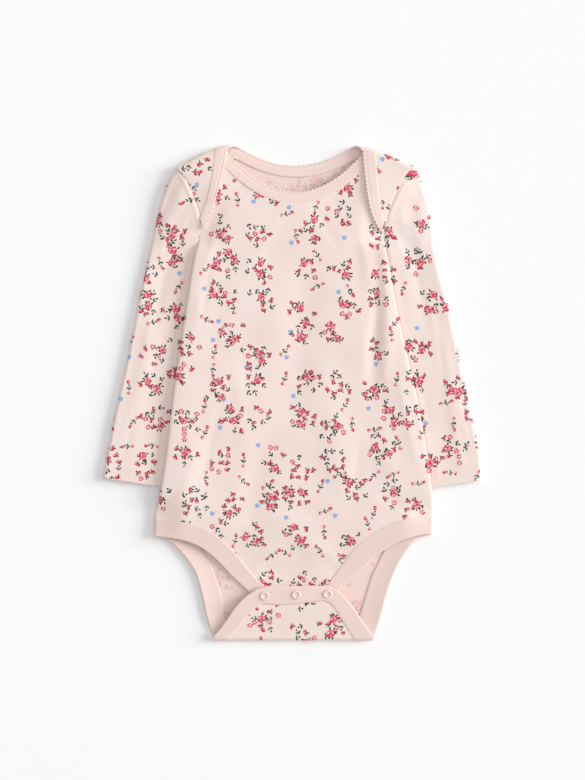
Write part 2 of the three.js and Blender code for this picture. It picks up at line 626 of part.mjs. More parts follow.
// A printed lap: round the shoulder fold and down the front, between the armhole and its binding.
function lap(shoulderRow, side) {
  const inner = trail(LAP_BINDINGS[side]);
  const away = side === 'left' ? -1 : 1;
  const armhole = side === 'left' ? leftSide : rightSide;
  const ends = [shoulderRow[0], shoulderRow[shoulderRow.length - 1]];
  const [tip, last] = side === 'left' ? ends : ends.reverse();
  const fold = foldOver(shoulderRow, 1, lapHeight);
  // The outer end of the fold keeps to the armhole as it goes over the shoulder.
  for (const row of fold) {
    row.forEach((point, j) => {
      const across = (point.x - tip.x) / (last.x - tip.x);
      point.x += (1 - across) * (armhole(point.y) - armhole(shoulderRow[j].y));
    });
  }
  const bottomY = LAP_BINDINGS[side][0].seamY + 3;
  const lastRow = LAP_BINDINGS[side].length - 1;
  const rows = [5, 4, 3, 2, 1, 0.35].map((number) => {
    const seam = inner(number);
    const share = (lastRow - number) / (lastRow - 0.35);
    const outerY = mix(tip.y, bottomY, share);
    const outerX = armhole(outerY) - away * CLOTH / 2;
    const innerX = seam.seamX + away * SEAM;
    return shoulderRow.map((point) => {
      const across = (point.x - tip.x) / (last.x - tip.x);
      const x = mix(outerX, innerX, across);
      const y = mix(outerY, seam.seamY, across);
      return new THREE.Vector3(x, y, lapHeight(x, y));
    });
  });
  return [shoulderRow, ...fold, ...rows];
}

// The crotch flap: round the bottom fold and up the front as far as its tape.
function flap(bottomRow) {
  const fold = foldOver(bottomRow, -1, () => FLAP_FOLD_LEVEL);
  const { left, right } = LEG_BINDINGS;
  const tapeY = lookup(FLAP_TAPE, 'seamX', 'seamY');
  const [start, end] = [bottomRow[0].x, bottomRow[bottomRow.length - 1].x];
  const lastRow = left.flap.length - 1;
  const plan = (number, across) => ({
    x: mix(left.flap[number].seamX + SEAM, right.flap[number].seamX - SEAM, across),
    y: mix(left.flap[number].seamY, right.flap[number].seamY, across),
  });
  const rows = left.flap.slice(1).map((unused, i) => bottomRow.map((point) => {
    const across = (point.x - start) / (end - start);
    const { x, y } = plan(i + 1, across);
    const edge = plan(lastRow, across);
    const bow = (tapeY(edge.x) - SEAM - edge.y) * ((i + 1) / lastRow) ** 2;
    return new THREE.Vector3(x, y + bow, flapHeight(y + bow));
  }));
  return [bottomRow, ...fold, ...rows];
}

// Sleeves

// The upper layer of a sleeve: low where the body lies on it, high at the armhole and crowned between.
function sleeveTop(x, y, inFromOuter) {
  const out = Math.max(leftSide(y) - x, x - rightSide(y));
  const nearBody = mix(UNDER_EDGE, ARMHOLE_LEVEL, ease(104, 130, y));
  const crown = mix(SLEEVE_CROWN, ARMHOLE_LEVEL, ease(90, 150, y));
  const edge = mix(SLEEVE_EDGE, ARMHOLE_LEVEL, ease(120, 180, y));
  const raised = mix(nearBody, crown, ease(1.5, 15, out));
  const quiet = ease(3, 14, out) * ease(1, 9, inFromOuter);
  const hem = HEM_RISE * ease(-58, -62, y) * ease(3, 9, out);
  return mix(edge, raised, ease(0, 13, inFromOuter)) + quiet * foldHeight(SLEEVE_FOLDS, x, y) + hem;
}

// Where the rings of a sleeve lie, by row of its table. They are closer near the armhole.
const SLEEVE_RINGS = [
  0, 0.4, 0.8, 1.2, 1.6, 2, 2.3, 2.6, 3, 3.5, 4, 4.5, 5, 5.5, 6, 6.6, 7.2, 7.8, 8.4, 9, 9.4, 10,
];
const UPPER_SHARES = [0, 0.08, 0.2, 0.33, 0.46, 0.58, 0.69, 0.78, 0.85, 0.92, 1];
const LOWER_SHARES = [1, 0.7, 0.4, 0];
const EDGE_TURNS = [36, 72, 108, 144];

function sleeve(side) {
  const rows = trail(SLEEVES[side]);
  const away = side === 'left' ? -1 : 1;
  const armhole = side === 'left' ? leftSide : rightSide;
  const wallHalf = CLOTH / 2;
  const rings = SLEEVE_RINGS.map((number) => {
    const row = rows(number);
    const length = Math.hypot(row.innerX - row.outerX, row.innerY - row.outerY);
    const bend = ease(2.5, 0, number);
    // A point of this ring's line in plan, at a distance from the outer edge. The first ring lies on
    // the armhole seam and the next few bow towards it.
    const plan = (distance) => {
      const share = distance / length;
      const x = mix(row.outerX, row.innerX, share);
      const y = mix(row.outerY, row.innerY, share);
      const seamX = armhole(y) + away * (SEAM + wallHalf);
      const follow = number === 0 ? 1 : 3.2 * bend * bend * share * (1 - share);
      return { x: mix(x, seamX, follow), y };
    };
    const height = (distance) => {
      const { x, y } = plan(distance);
      return sleeveTop(x, y, distance);
    };
    const at = (distance, z) => {
      const { x, y } = plan(distance);
      return new THREE.Vector3(x, y, z);
    };
    const outerRadius = (height(0) - wallHalf) / 2;
    const innerRadius = (height(length) - wallHalf) / 2;
    const first = outerRadius + wallHalf;
    const last = length - innerRadius - wallHalf;
    const upper = UPPER_SHARES.map((share) => mix(first, last, share));
    const lower = LOWER_SHARES.map((share) => mix(first, last, share));
    const round = (centre, radius, direction, degrees) => {
      const turn = THREE.MathUtils.degToRad(degrees);
      return at(centre + direction * radius * Math.sin(turn), wallHalf + radius * (1 + Math.cos(turn)));
    };
    return [
      ...upper.map((distance) => at(distance, height(distance))),
      ...EDGE_TURNS.map((turn) => round(last, (height(last) - wallHalf) / 2, 1, turn)),
      ...lower.map((distance) => at(distance, wallHalf)),
      ...[...EDGE_TURNS].reverse().map((turn) => round(first, (height(first) - wallHalf) / 2, -1, turn)),
    ];
  });
  return new Sheet(CLOTH).addGrid(rings.map((ring) => [...ring, ring[0]])).geometry();
}

// Bindings

const RIB_COLUMNS = [0, 0.33, 0.67, 1];

// One cross row of a binding from its free edge to its seam. Both edges are drawn in a little, so that
// the wall's ends are level with the edges in the tables and clear of the panel.
function ribRow(row, height) {
  const width = Math.hypot(row.freeX - row.seamX, row.freeY - row.seamY);
  return RIB_COLUMNS.map((column) => {
    const share = mix(0, 1 - SEAM / width, column);
    const x = mix(row.freeX, row.seamX, share);
    const y = mix(row.freeY, row.seamY, share);
    return new THREE.Vector3(x, y, height(x, y));
  });
}

const BACK_RIB_LEVEL = RIB / 2;
const backRibHeight = () => BACK_RIB_LEVEL;

function legBinding(side) {
  const { front, back, flap: up } = LEG_BINDINGS[side];
  const away = side === 'left' ? -1 : 1;
  const frontRows = front.map((row) => ribRow(row, frontHeight));
  const backRows = back.map((row) => ribRow(row, backRibHeight));
  const flapRows = up.map((row) => ribRow(row, (x, y) => flapHeight(y)));
  const hip = frontRows[frontRows.length - 1];
  const sideTurn = [30, 60, 90, 120, 150].map((degrees) => {
    const turn = THREE.MathUtils.degToRad(degrees);
    return hip.map((point, j) => {
      const landing = backRows[0][j];
      const radius = (point.z - landing.z) / 2;
      return new THREE.Vector3(
        mix(point.x, landing.x, degrees / 180) + away * radius * Math.sin(turn),
        mix(point.y, landing.y, degrees / 180),
        landing.z + radius * (1 + Math.cos(turn)),
      );
    });
  });
  const bottom = foldOver(backRows[backRows.length - 1], -1, () => FLAP_FOLD_LEVEL);
  return new Sheet(RIB)
    .addGrid([...frontRows, ...sideTurn, ...backRows, ...bottom, ...flapRows])
    .geometry();
}

const neckBindingRow = (neck, x) => {
  const seam = neckPoint(neck, x, NECK_BINDING);
  return { freeX: x, freeY: neckY(neck, x), seamX: seam.x, seamY: seam.y };
};

// The front neck binding ends in a corner on each side, under the laps.
const FRONT_NECK_ENDS = [
  { freeX: -54.1, seamFreeX: -56.3 },
  { freeX: 58.4, seamFreeX: 60.8 },
];

function frontNeckBinding() {
  const [first, last] = FRONT_NECK_ENDS.map((end) => {
    const corner = neckPoint(FRONT_NECK, end.seamFreeX, NECK_BINDING);
    return { freeX: end.freeX, freeY: neckY(FRONT_NECK, end.freeX), seamX: corner.x, seamY: corner.y };
  });
  const rows = stations(first.freeX, last.freeX, 29).map((x) => neckBindingRow(FRONT_NECK, x));
  return new Sheet(RIB).addGrid([first, ...rows, last].map((row) => ribRow(row, frontHeight))).geometry();
}

// A row of the back neck binding along the shoulder fold, where its upper or lower layer starts.
function shoulderRow(freeX, seamX, z) {
  return RIB_COLUMNS.map((column) => {
    const x = mix(freeX, seamX, column);
    return new THREE.Vector3(x, shoulderStart(x, RIB, RIB_FOLD_RADIUS), z);
  });
}

// The back neck binding runs on over both shoulders as the edges of the laps.
function backNeckBinding() {
  const half = (side) => {
    const corner = NECK_CORNERS[side];
    const low = shoulderRow(corner.backFreeX, corner.backSeamX, BACK_RIB_LEVEL);
    const high = shoulderRow(corner.frontFreeX, corner.frontSeamX, FRONT_LEVEL + LAP_STEP);
    const turnOver = HALF_TURN.slice(0, -1).map((degrees) => low.map((point, j) => {
      const turn = THREE.MathUtils.degToRad(degrees);
      const x = mix(point.x, high[j].x, degrees / 180);
      const y = shoulderStart(x, RIB, RIB_FOLD_RADIUS) + RIB_FOLD_RADIUS * Math.sin(turn);
      return new THREE.Vector3(x, y, point.z + RIB_FOLD_RADIUS * (1 - Math.cos(turn)));
    }));
    const front = LAP_BINDINGS[side].map((row) => ribRow(row, lapHeight));
    return [...front.slice(0, -1), high, ...turnOver.reverse(), low];
  };
  const backRows = stations(NECK_CORNERS.left.backFreeX, NECK_CORNERS.right.backFreeX, 25)
    .map((x) => ribRow(neckBindingRow(BACK_NECK, x), backRibHeight));
  return new Sheet(RIB).addGrid([...half('left'), ...backRows, ...half('right').reverse()]).geometry();
}

function tape(table, height) {
  const rows = stations(0, table.length - 1, 2 * table.length - 1).map(trail(table));
  return new Sheet(RIB).addGrid(rows.map((row) => ribRow(row, height))).geometry();
}

// Snap fasteners, turned about their own axes

const turned = (profile) =>
  new THREE.LatheGeometry(profile.map(([radius, z]) => new THREE.Vector2(radius, z)), SNAP_SIDES)
    .rotateX(Math.PI / 2);

const snapCap = () => turned([
  [0, 0], [SNAP_RADIUS, 0], [SNAP_RADIUS, 0.5], [3.3, 1.0], [2.7, 1.15],
  [2.1, 0.95], [1.7, 0.55], [0, 0.5], [0, 0],
]);
const snapStud = () => turned([
  [0, 0], [1.1, 0], [1.4, 0.3], [1.4, 1.2], [SNAP_RADIUS, 1.2], [SNAP_RADIUS, 1.6], [0, 1.6], [0, 0],
]);
const snapSocket = () => turned([
  [1.9, 0], [SNAP_RADIUS, 0], [SNAP_RADIUS, 0.9], [3.2, 1.3], [1.9, 1.3], [1.9, 0],
]);

// The garment

const garment = new THREE.Group();

function add(name, geometry, color) {
  const material = new THREE.MeshStandardMaterial({ color, roughness: 0.9, metalness: 0 });
  const mesh = new THREE.Mesh(geometry, material);
  mesh.name = name;
  garment.add(mesh);
  return mesh;
}

add('front_panel', frontPanel(), COLORS.print);
add('back_panel', backPanel(), COLORS.print);
add('sleeve_left', sleeve('left'), COLORS.print);
add('sleeve_right', sleeve('right'), COLORS.print);
add('neck_binding_front', frontNeckBinding(), COLORS.rib);
add('neck_binding_back', backNeckBinding(), COLORS.rib);
add('leg_binding_left', legBinding('left'), COLORS.rib);
add('leg_binding_right', legBinding('right'), COLORS.rib);
add('crotch_tape_front', tape(FRONT_TAPE, () => CROTCH_LEVEL), COLORS.rib);
add('crotch_tape_flap', tape(FLAP_TAPE, () => FLAP_LEVEL), COLORS.rib);

SNAPS.forEach(({ x, y }, i) => {
  const frontTop = CROTCH_LEVEL + RIB / 2 + SEAM;
  const flapTop = FLAP_LEVEL + RIB / 2 + SEAM;
  add(`snap_socket_${i + 1}`, snapSocket(), COLORS.snap).position.set(x, y, frontTop);
  add(`snap_stud_${i + 1}`, snapStud(), COLORS.snap).position.set(x, y, frontTop + 0.4);
  add(`snap_cap_${i + 1}`, snapCap(), COLORS.snap).position.set(x, y, flapTop);
});

export default garment;
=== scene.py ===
"""The looks of a long-sleeved baby bodysuit, laid flat with its front up.

Lengths in the tables and functions are millimetres in the frame of the CAD model: +X to the viewer's
right, +Y to the neck, +Z up. They become metres where a mesh is made.
"""

import math

import bpy
import numpy as np
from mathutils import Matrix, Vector


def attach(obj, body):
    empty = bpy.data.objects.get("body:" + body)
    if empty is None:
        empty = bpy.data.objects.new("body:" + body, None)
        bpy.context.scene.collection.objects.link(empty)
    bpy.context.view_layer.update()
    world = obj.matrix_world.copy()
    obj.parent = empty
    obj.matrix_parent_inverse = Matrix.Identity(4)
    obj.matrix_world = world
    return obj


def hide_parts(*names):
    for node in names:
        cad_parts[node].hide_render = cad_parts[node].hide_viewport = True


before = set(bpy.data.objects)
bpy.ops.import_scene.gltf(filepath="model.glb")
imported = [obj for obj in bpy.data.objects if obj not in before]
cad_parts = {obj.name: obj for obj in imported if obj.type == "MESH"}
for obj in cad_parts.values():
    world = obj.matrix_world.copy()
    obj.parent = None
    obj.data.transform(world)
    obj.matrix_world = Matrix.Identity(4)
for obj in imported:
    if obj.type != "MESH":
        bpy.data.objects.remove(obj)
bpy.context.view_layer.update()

MM = 0.001

# Sizes that the CAD model has too
CLOTH = 1.2
RIB = 2.0
SIDE_SEAM = 0.6
FRONT_LEVEL = 5.4
CROTCH_LEVEL = 2.6
LAP_STEP = 2.4
ARMHOLE_LEVEL = 5.8
NECK_BINDING = 9.5
FLAP_LEVEL = 7.2
FLAP_FOLD_LEVEL = 5.0
BOTTOM_FOLD_Y = -199.8
UNDERARM_Y = 128
HIP_Y = -70
BODY_TOP_Y = 96
INSIDE_SHOULDER = 5.2

# Sizes of the finish
SIDE_FOLD = 1.6  # half the height of the body's side folds
FOLD_REACH = 0.8  # half their depth: they are pressed flatter than they are high
SLEEVE_LIFT = 4.3  # how far the sleeves raise the body's sides
UNDER_EDGE = 3.4  # middle of the sleeve's upper layer where the body lies on it
SLEEVE_CROWN = 4.1  # the same along the middle of the sleeve
SLEEVE_EDGE = 4.4  # the same at its outer fold
RIGHT_BESIDE_BODY = (4.2, 6.4)  # the same beside the body on the right, below and at the underarm
RIB_GROUND = RIB / 2 + 0.06  # middle of a rib's wall on the ground, a hair above the cloth's face
BACK_CURL = 1.5  # how far the leg bindings' free edges lift off the ground at the back
CROWN = 3.2  # how far the front stands up between its sides
TUCK = 1.3  # how far a panel runs on into the fold of the rib that binds it
PICOT_PITCH = 3.4  # scallops along the free edges of the neck
PICOT_HEIGHT = 1.35
LEG_BINDING = 13.0  # width of the leg bindings and tapes in their profile
STITCH_PITCH = 2.3
ARMHOLE_REACH = 0.62  # how much further out the body's edge runs along the armhole seam than its side fold
HEM_HEIGHT = 13.0  # of the sleeves' hems, from the cuff to the upper stitching
HEM_RISE = 0.45  # how far the turned hem thickens the cloth
CUFF_ROW = 13.0  # distance between the last two rows of a sleeve's table

# The outlines follow the CAD model's tables. The sleeves' edges and the folds follow the photo closer.

# y, left x, right x
BODY_SIDES = [
    (-117, -113.4, 115.4),
    (-102, -112.6, 115.8),
    (-85, -108.4, 114.8),
    (-45, -102.2, 109.6),
    (-4, -97.4, 102.1),
    (37, -91.4, 92.6),
    (80, -84.9, 83.4),
    (105, -81.0, 79.4),
    (128, -76.0, 75.6),
    (143, -74.8, 77.2),
    (154, -77.9, 81.0),
    (166, -82.6, 86.4),
    (178, -88.8, 93.0),
    (185, -94.5, 99.6),
]

# x, y of the folded shoulder line
SHOULDER = [
    (-94.7, 183.7),
    (-80.0, 192.5),
    (-66.4, 199.0),
    (-57.0, 202.3),
    (-48.0, 203.4),
    (52.7, 202.6),
    (57.0, 202.1),
    (66.3, 200.0),
    (82.0, 193.5),
    (97.7, 185.6),
    (101.4, 182.5),
]

# Parabolas of the free edges of the neck: middle x, lowest y, half width, rise at that half width
FRONT_NECK = (2.5, 164.2, 54.1, 30.3)
BACK_NECK = (3.5, 186.3, 48.6, 16.3)

# x, y where the front panel is sewn to the leg bindings
FRONT_LEG = [
    (-112.6, -103.4),
    (-92.3, -103.9),
    (-76.0, -107.8),
    (-63.0, -114.3),
    (-51.7, -124.8),
    (-40.3, -137.8),
    (-32.2, -148.4),
    (-22.4, -157.6),
    (28.4, -157.6),
    (39.1, -142.7),
    (47.2, -131.4),
    (58.5, -119.1),
    (69.9, -111.0),
    (86.1, -104.6),
    (102.3, -100.9),
    (115.8, -99.9),
]

# left x, left y, right x, right y where the back is sewn to the leg bindings, from the bottom fold up
BACK_LEG = [
    (-50.6, -199.8, 49.6, -199.8),
    (-52.3, -191.0, 52.0, -191.0),
    (-55.5, -178.0, 56.6, -178.0),
    (-59.0, -163.0, 61.0, -163.0),
    (-63.0, -150.0, 65.2, -150.0),
    (-68.5, -137.0, 70.8, -138.0),
    (-76.0, -125.0, 77.5, -125.0),
    (-86.0, -114.0, 86.5, -112.4),
    (-98.0, -106.4, 101.0, -103.4),
    (-112.6, -103.1, 115.6, -99.8),
]

# free x, free y, seam x, seam y of each binding's two edges
LEG_BINDINGS = {
    "left": {
        "front": [
            (-31.2, -168.4, -22.4, -157.6),
            (-39.4, -159.1, -28.2, -152.5),
            (-50.0, -149.2, -36.5, -143.1),
            (-60.5, -138.0, -46.0, -131.2),
            (-71.1, -128.7, -57.0, -119.6),
            (-81.0, -123.2, -71.0, -109.9),
            (-92.3, -119.8, -87.0, -104.9),
            (-103.0, -118.2, -101.0, -103.6),
            (-110.6, -117.5, -109.8, -103.4),
        ],
        "back": [
            (-110.6, -117.5, -109.8, -103.6),
            (-101.5, -121.1, -98.0, -106.4),
            (-93.7, -127.4, -86.0, -114.0),
            (-85.3, -137.4, -76.0, -125.0),
            (-79.6, -146.5, -68.5, -137.0),
            (-76.1, -156.4, -63.0, -150.0),
            (-73.2, -167.7, -59.0, -163.0),
            (-70.4, -181.8, -55.5, -178.0),
            (-67.0, -193.4, -52.3, -191.0),
            (-64.6, -199.8, -50.6, -199.8),
        ],
        "flap": [
            (-63.6, -198.0, -48.6, -198.0),
            (-59.0, -192.6, -46.2, -195.0),
            (-53.5, -185.3, -43.0, -191.2),
            (-46.4, -174.9, -36.4, -182.6),
            (-38.6, -166.6, -30.6, -176.4),
            (-29.2, -160.2, -24.6, -172.2),
        ],
    },
    "right": {
        "front": [
            (35.6, -166.8, 28.4, -157.6),
            (42.2, -156.2, 33.2, -150.9),
            (50.3, -150.7, 39.1, -142.7),
            (58.8, -143.7, 46.5, -132.4),
            (66.6, -135.2, 55.0, -122.5),
            (75.0, -128.8, 64.5, -114.4),
            (85.0, -122.8, 77.0, -107.8),
            (96.0, -118.4, 91.0, -103.2),
            (106.4, -116.1, 104.6, -100.7),
            (112.6, -115.8, 113.0, -100.1),
        ],
        "back": [
            (112.6, -116.2, 113.0, -100.9),
            (103.3, -119.6, 101.0, -103.8),
            (94.8, -128.2, 86.5, -112.4),
            (88.5, -138.0, 77.5, -125.0),
            (83.8, -148.0, 70.8, -138.0),
            (79.6, -159.0, 65.2, -150.0),
            (76.2, -170.4, 61.0, -163.0),
            (72.8, -183.4, 56.6, -178.0),
            (69.6, -194.0, 52.0, -191.0),
            (67.8, -199.8, 49.6, -199.8),
        ],
        "flap": [
            (66.4, -198.0, 48.4, -198.0),
            (62.8, -193.8, 46.8, -195.4),
            (58.2, -187.0, 44.4, -191.6),
            (51.0, -176.4, 39.4, -183.6),
            (43.3, -166.5, 34.4, -175.6),
            (36.4, -160.2, 30.8, -171.6),
        ],
    },
}
FLAP_TAPE = [
    (-29.2, -160.2, -24.6, -172.2),
    (-23.0, -158.3, -20.0, -172.6),
    (-12.0, -157.8, -10.0, -173.1),
    (2.5, -157.7, 3.0, -172.6),
    (17.0, -157.4, 17.0, -170.5),
    (28.0, -157.6, 25.5, -169.9),
    (36.4, -160.2, 30.8, -171.6),
]
FRONT_TAPE = [
    (-30.6, -169.6, -22.0, -157.9),
    (-24.0, -171.6, -18.0, -157.9),
    (2.5, -172.0, 2.5, -157.9),
    (28.0, -171.4, 24.0, -157.9),
    (35.2, -168.2, 28.0, -157.9),
]
LAP_BINDINGS = {
    "left": [
        (-72.2, 133.6, -75.0, 143.0),
        (-68.6, 142.7, -73.4, 148.6),
        (-64.6, 152.8, -70.4, 155.6),
        (-60.7, 164.0, -67.8, 166.0),
        (-57.6, 175.6, -65.8, 177.6),
        (-55.0, 187.0, -64.2, 189.0),
        (-53.2, 198.4, -63.4, 196.4),
    ],
    "right": [
        (72.7, 130.8, 75.3, 138.2),
        (65.8, 143.6, 72.8, 150.4),
        (62.6, 154.4, 71.2, 159.6),
        (60.6, 166.0, 70.2, 170.6),
        (59.2, 178.0, 69.6, 181.0),
        (58.2, 189.4, 69.0, 189.8),
        (57.6, 198.4, 68.4, 195.6),
    ],
}

# back free x, back seam x, front free x, front seam x where the neck binding turns over the shoulders
NECK_CORNERS = {"left": (-39.2, -62.9, -53.2, -63.4), "right": (45.0, 67.9, 57.6, 68.4)}
LAP_INNER_X = {"left": -64.0, "right": 69.0}

# outer x, outer y, inner x, inner y of each sleeve's folded edges
SLEEVES = {
    "left": [
        (-93.0, 184.2, -77.2, 127.6),
        (-100.9, 173.7, -76.4, 118.4),
        (-106.2, 159.1, -76.4, 107.6),
        (-110.4, 142.3, -74.4, 96.0),
        (-114.6, 123.5, -69.4, 84.0),
        (-118.7, 105.8, -69.6, 70.0),
        (-127.1, 67.2, -74.0, 40.0),
        (-134.5, 30.3, -79.4, 8.0),
        (-144.8, -15.6, -86.4, -30.0),
        (-152.8, -57.2, -92.5, -66.0),
        (-155.1, -69.3, -94.3, -78.3),
    ],
    "right": [
        (101.8, 182.8, 76.8, 127.6),
        (106.0, 172.4, 75.4, 118.4),
        (110.2, 158.0, 75.2, 107.6),
        (113.6, 142.3, 73.0, 96.0),
        (115.8, 123.5, 68.6, 84.0),
        (118.9, 105.8, 69.4, 70.0),
        (129.0, 67.2, 75.6, 40.0),
        (136.6, 30.3, 83.4, 8.0),
        (146.8, -15.6, 91.8, -30.0),
        (154.6, -57.2, 99.4, -66.0),
        (155.1, -71.0, 101.4, -79.0),
    ],
}

# x, y, angle in degrees, length, width, height of soft ridges, or of troughs below zero
BODY_FOLDS = [
    (69, 60, 88, 175, 12, -1.2),
    (78, 62, 88, 150, 12, 0.9),
    (-52, 60, 84, 170, 22, 0.2),
    (6, 40, 88, 190, 26, -0.8),
    (34, -30, 97, 150, 24, 0.7),
    (-30, -70, 78, 120, 20, -0.7),
    (82, -62, 106, 110, 18, 0.8),
    (-84, -70, 80, 100, 16, 0.7),
    (20, -128, 150, 60, 12, 0.6),
    (-60, 150, 62, 60, 12, -0.6),
]
SLEEVE_FOLDS = [
    (-96, 150, 64, 70, 12, 0.8),
    (-104, 96, 75, 110, 12, -1.0),
    (-124, 10, 78, 120, 15, 0.8),
    (92, 140, 112, 70, 12, 0.7),
    (103, 96, 105, 100, 12, -0.9),
    (130, 6, 103, 120, 15, 0.8),
]
# The same for smaller creases that only the finish has
BODY_CREASES = [
    (66, 40, 84, 90, 7, -0.4),
    (58, 118, 100, 60, 7, 0.4),
    (-66, 118, 70, 60, 7, 0.4),
    (-70, 84, 82, 80, 6, -0.4),
    (-20, 128, 60, 70, 9, 0.3),
    (30, 132, 118, 60, 8, -0.3),
    (-44, 0, 96, 90, 9, 0.35),
    (52, -66, 84, 80, 8, -0.35),
    (-66, -40, 75, 90, 8, -0.4),
    (94, -20, 102, 80, 7, 0.45),
    (-96, -88, 40, 50, 7, 0.4),
    (88, -92, 150, 50, 7, -0.4),
    (-10, -110, 20, 70, 9, 0.35),
    (30, -140, 140, 50, 7, -0.4),
    (-26, -138, 45, 40, 6, 0.35),
    (4, -96, 170, 90, 10, -0.25),
]
SLEEVE_CREASES = [
    (-88, 132, 55, 50, 6, -0.5),
    (-98, 118, 62, 60, 5, 0.45),
    (-112, 128, 72, 70, 7, 0.3),
    (-116, 60, 80, 70, 7, 0.35),
    (-110, 30, 70, 60, 6, -0.35),
    (-132, -30, 76, 70, 7, -0.35),
    (-142, -10, 80, 50, 6, 0.3),
    (88, 118, 122, 50, 6, 0.45),
    (98, 128, 110, 70, 7, -0.2),
    (112, 70, 104, 80, 7, 0.35),
    (122, 30, 98, 60, 6, -0.35),
    (134, -36, 102, 70, 7, 0.35),
    (144, -20, 100, 50, 6, -0.3),
]
# share across, share up, wavelength, height of broad swells that keep the cloth from being quite flat
SWELLS = [
    (0.9, 0.45, 61.0, 0.16),
    (-0.5, 0.86, 47.0, 0.13),
    (0.2, 0.98, 83.0, 0.16),
    (0.97, -0.24, 38.0, 0.10),
    (0.64, 0.77, 29.0, 0.06),
]

SNAPS = [(-22.4, -165.6), (3.4, -164.8), (29.0, -164.2)]


# Arithmetic


def mix(a, b, share):
    return a + (b - a) * share


def ease(low, high, value):
    share = np.clip((np.asarray(value, float) - low) / (high - low), 0, 1)
    return share * share * (3 - 2 * share)


def curve(xs, ys):
    """A smooth curve through points that never overshoots them, as a function of arrays."""
    xs, ys = np.asarray(xs, float), np.asarray(ys, float)
    steps = np.diff(xs)
    slopes = np.diff(ys) / steps
    tangents = np.zeros(len(xs))
    tangents[0], tangents[-1] = slopes[0], slopes[-1]
    before, after = slopes[:-1], slopes[1:]
    same = before * after > 0
    tangents[1:-1][same] = (2 * before * after)[same] / (before + after)[same]

    def at(x):
        x = np.clip(np.asarray(x, float), xs[0], xs[-1])
        i = np.clip(np.searchsorted(xs, x, side="right") - 1, 0, len(steps) - 1)
        t = (x - xs[i]) / steps[i]
        rise, start, end = ys[i + 1] - ys[i], tangents[i] * steps[i], tangents[i + 1] * steps[i]
        return ys[i] + t * (start + t * (3 * rise - 2 * start - end + t * (start + end - 2 * rise)))

    return at


def columns_of(rows):
    return list(zip(*rows))


def trail(rows):
    """The columns of a table as smooth curves over the row's number."""
    curves = [curve(range(len(rows)), column) for column in columns_of(rows)]
    return lambda number: [c(number) for c in curves]


# Outlines

side_y, side_left, side_right = columns_of(BODY_SIDES)
left_side = curve(side_y, side_left)
right_side = curve(side_y, side_right)
shoulder_y = curve(*columns_of(SHOULDER))
front_leg_y = curve(*columns_of(FRONT_LEG))


def neck_y(neck, x):
    middle, low, half, rise = neck
    return low + rise * ((x - middle) / half) ** 2


def neck_point(neck, x, inward):
    """A point of the neck's parabola moved down into the garment by a distance."""
    middle, _, half, rise = neck
    slope = 2 * rise * (x - middle) / half**2
    length = np.hypot(1, slope)
    return x + inward * slope / length, neck_y(neck, x) - inward / length


def neck_seam(neck):
    return curve(*neck_point(neck, np.linspace(neck[0] - 70, neck[0] + 70, 113), NECK_BINDING - TUCK))


front_neck_seam = neck_seam(FRONT_NECK)
back_neck_seam = neck_seam(BACK_NECK)


SIDES = {"left": (-1, left_side), "right": (1, right_side)}  # which way is out, and the armhole


def in_from_side(x, y):
    return np.minimum(x - left_side(y), right_side(y) - x)


# Heights of the middle of each layer's wall


def fold_height(folds, x, y):
    total = 0
    for fold_x, fold_y, angle, length, width, height in folds:
        turn = math.radians(angle)
        along = ((x - fold_x) * math.cos(turn) + (y - fold_y) * math.sin(turn)) / (length / 2)
        across = ((y - fold_y) * math.cos(turn) - (x - fold_x) * math.sin(turn)) / (width / 2)
        total = total + height * np.exp(-across * across) * ease(1, 0.2, np.abs(along))
    return total


def swell(x, y, shift):
    total = 0
    for i, (across, up, length, height) in enumerate(SWELLS):
        total = total + height * np.sin(2 * np.pi * (across * x + up * y) / length + shift + 1.7 * i)
    return total


def side_lift(y):
    return SLEEVE_LIFT * ease(-99, -80, y) * ease(131, 114, y)


def side_roll(y):
    return ease(UNDERARM_Y, UNDERARM_Y - 6, y)


def crown(x, y):
    return CROWN * ease(-3, 26, in_from_side(x, y)) * ease(-150, -88, y) * ease(200, 128, y)


def front_height(x, y):
    inward = in_from_side(x, y)
    side = CLOTH / 2 + 2 * SIDE_FOLD + SIDE_SEAM + side_lift(y)
    level = mix(CROTCH_LEVEL, FRONT_LEVEL, ease(-160, -104, y))
    side_share = ease(28, SIDE_FOLD, inward) * ease(-125, -100, y) * side_roll(y)
    quiet = ease(1, 10, inward) * ease(-156, -140, y) * ease(186, 150, y)
    return mix(level, side, side_share) + crown(x, y) + quiet * fold_height(BODY_FOLDS, x, y)


def front_finish(x, y):
    """What the finish adds to the front panel: creases, and a soft pull where each seam gathers it."""
    inward = in_from_side(x, y)
    quiet = ease(2, 12, inward) * ease(-157, -146, y) * ease(192, 160, y)
    creases = fold_height(BODY_CREASES, x, y) + swell(x, y, 0.4)
    return quiet * creases - seam_dip(inward) * ease(130, 146, y)


def seam_dip(distance):
    """How far cloth sinks towards a seam that it is sewn into."""
    return 0.3 * np.exp(-((distance / 1.0) ** 2))


def back_height(x, y):
    return CLOTH / 2 + side_lift(y) * ease(30, 20, in_from_side(x, y))


def lap_height(x, y):
    return mix(FRONT_LEVEL, front_height(x, y), ease(196, 176, y)) + LAP_STEP


def flap_height(x, y):
    return mix(FLAP_FOLD_LEVEL, FLAP_LEVEL, ease(-199, -168, y)) + np.zeros(np.shape(x))


def level(height):
    return lambda x, y: np.full(np.shape(x), height)


# Closed walls round a middle surface


def add_object(name, data):
    obj = bpy.data.objects.new(name, data)
    bpy.context.collection.objects.link(obj)
    return obj


def smooth_mesh(name, verts, faces, *materials):
    """A smooth mesh from points in millimetres."""
    mesh = bpy.data.meshes.new(name)
    mesh.from_pydata((np.array(verts) * MM).tolist(), [], faces)
    for material in materials:
        mesh.materials.append(material)
    mesh.polygons.foreach_set("use_smooth", [True] * len(faces))
    mesh.update()
    return mesh


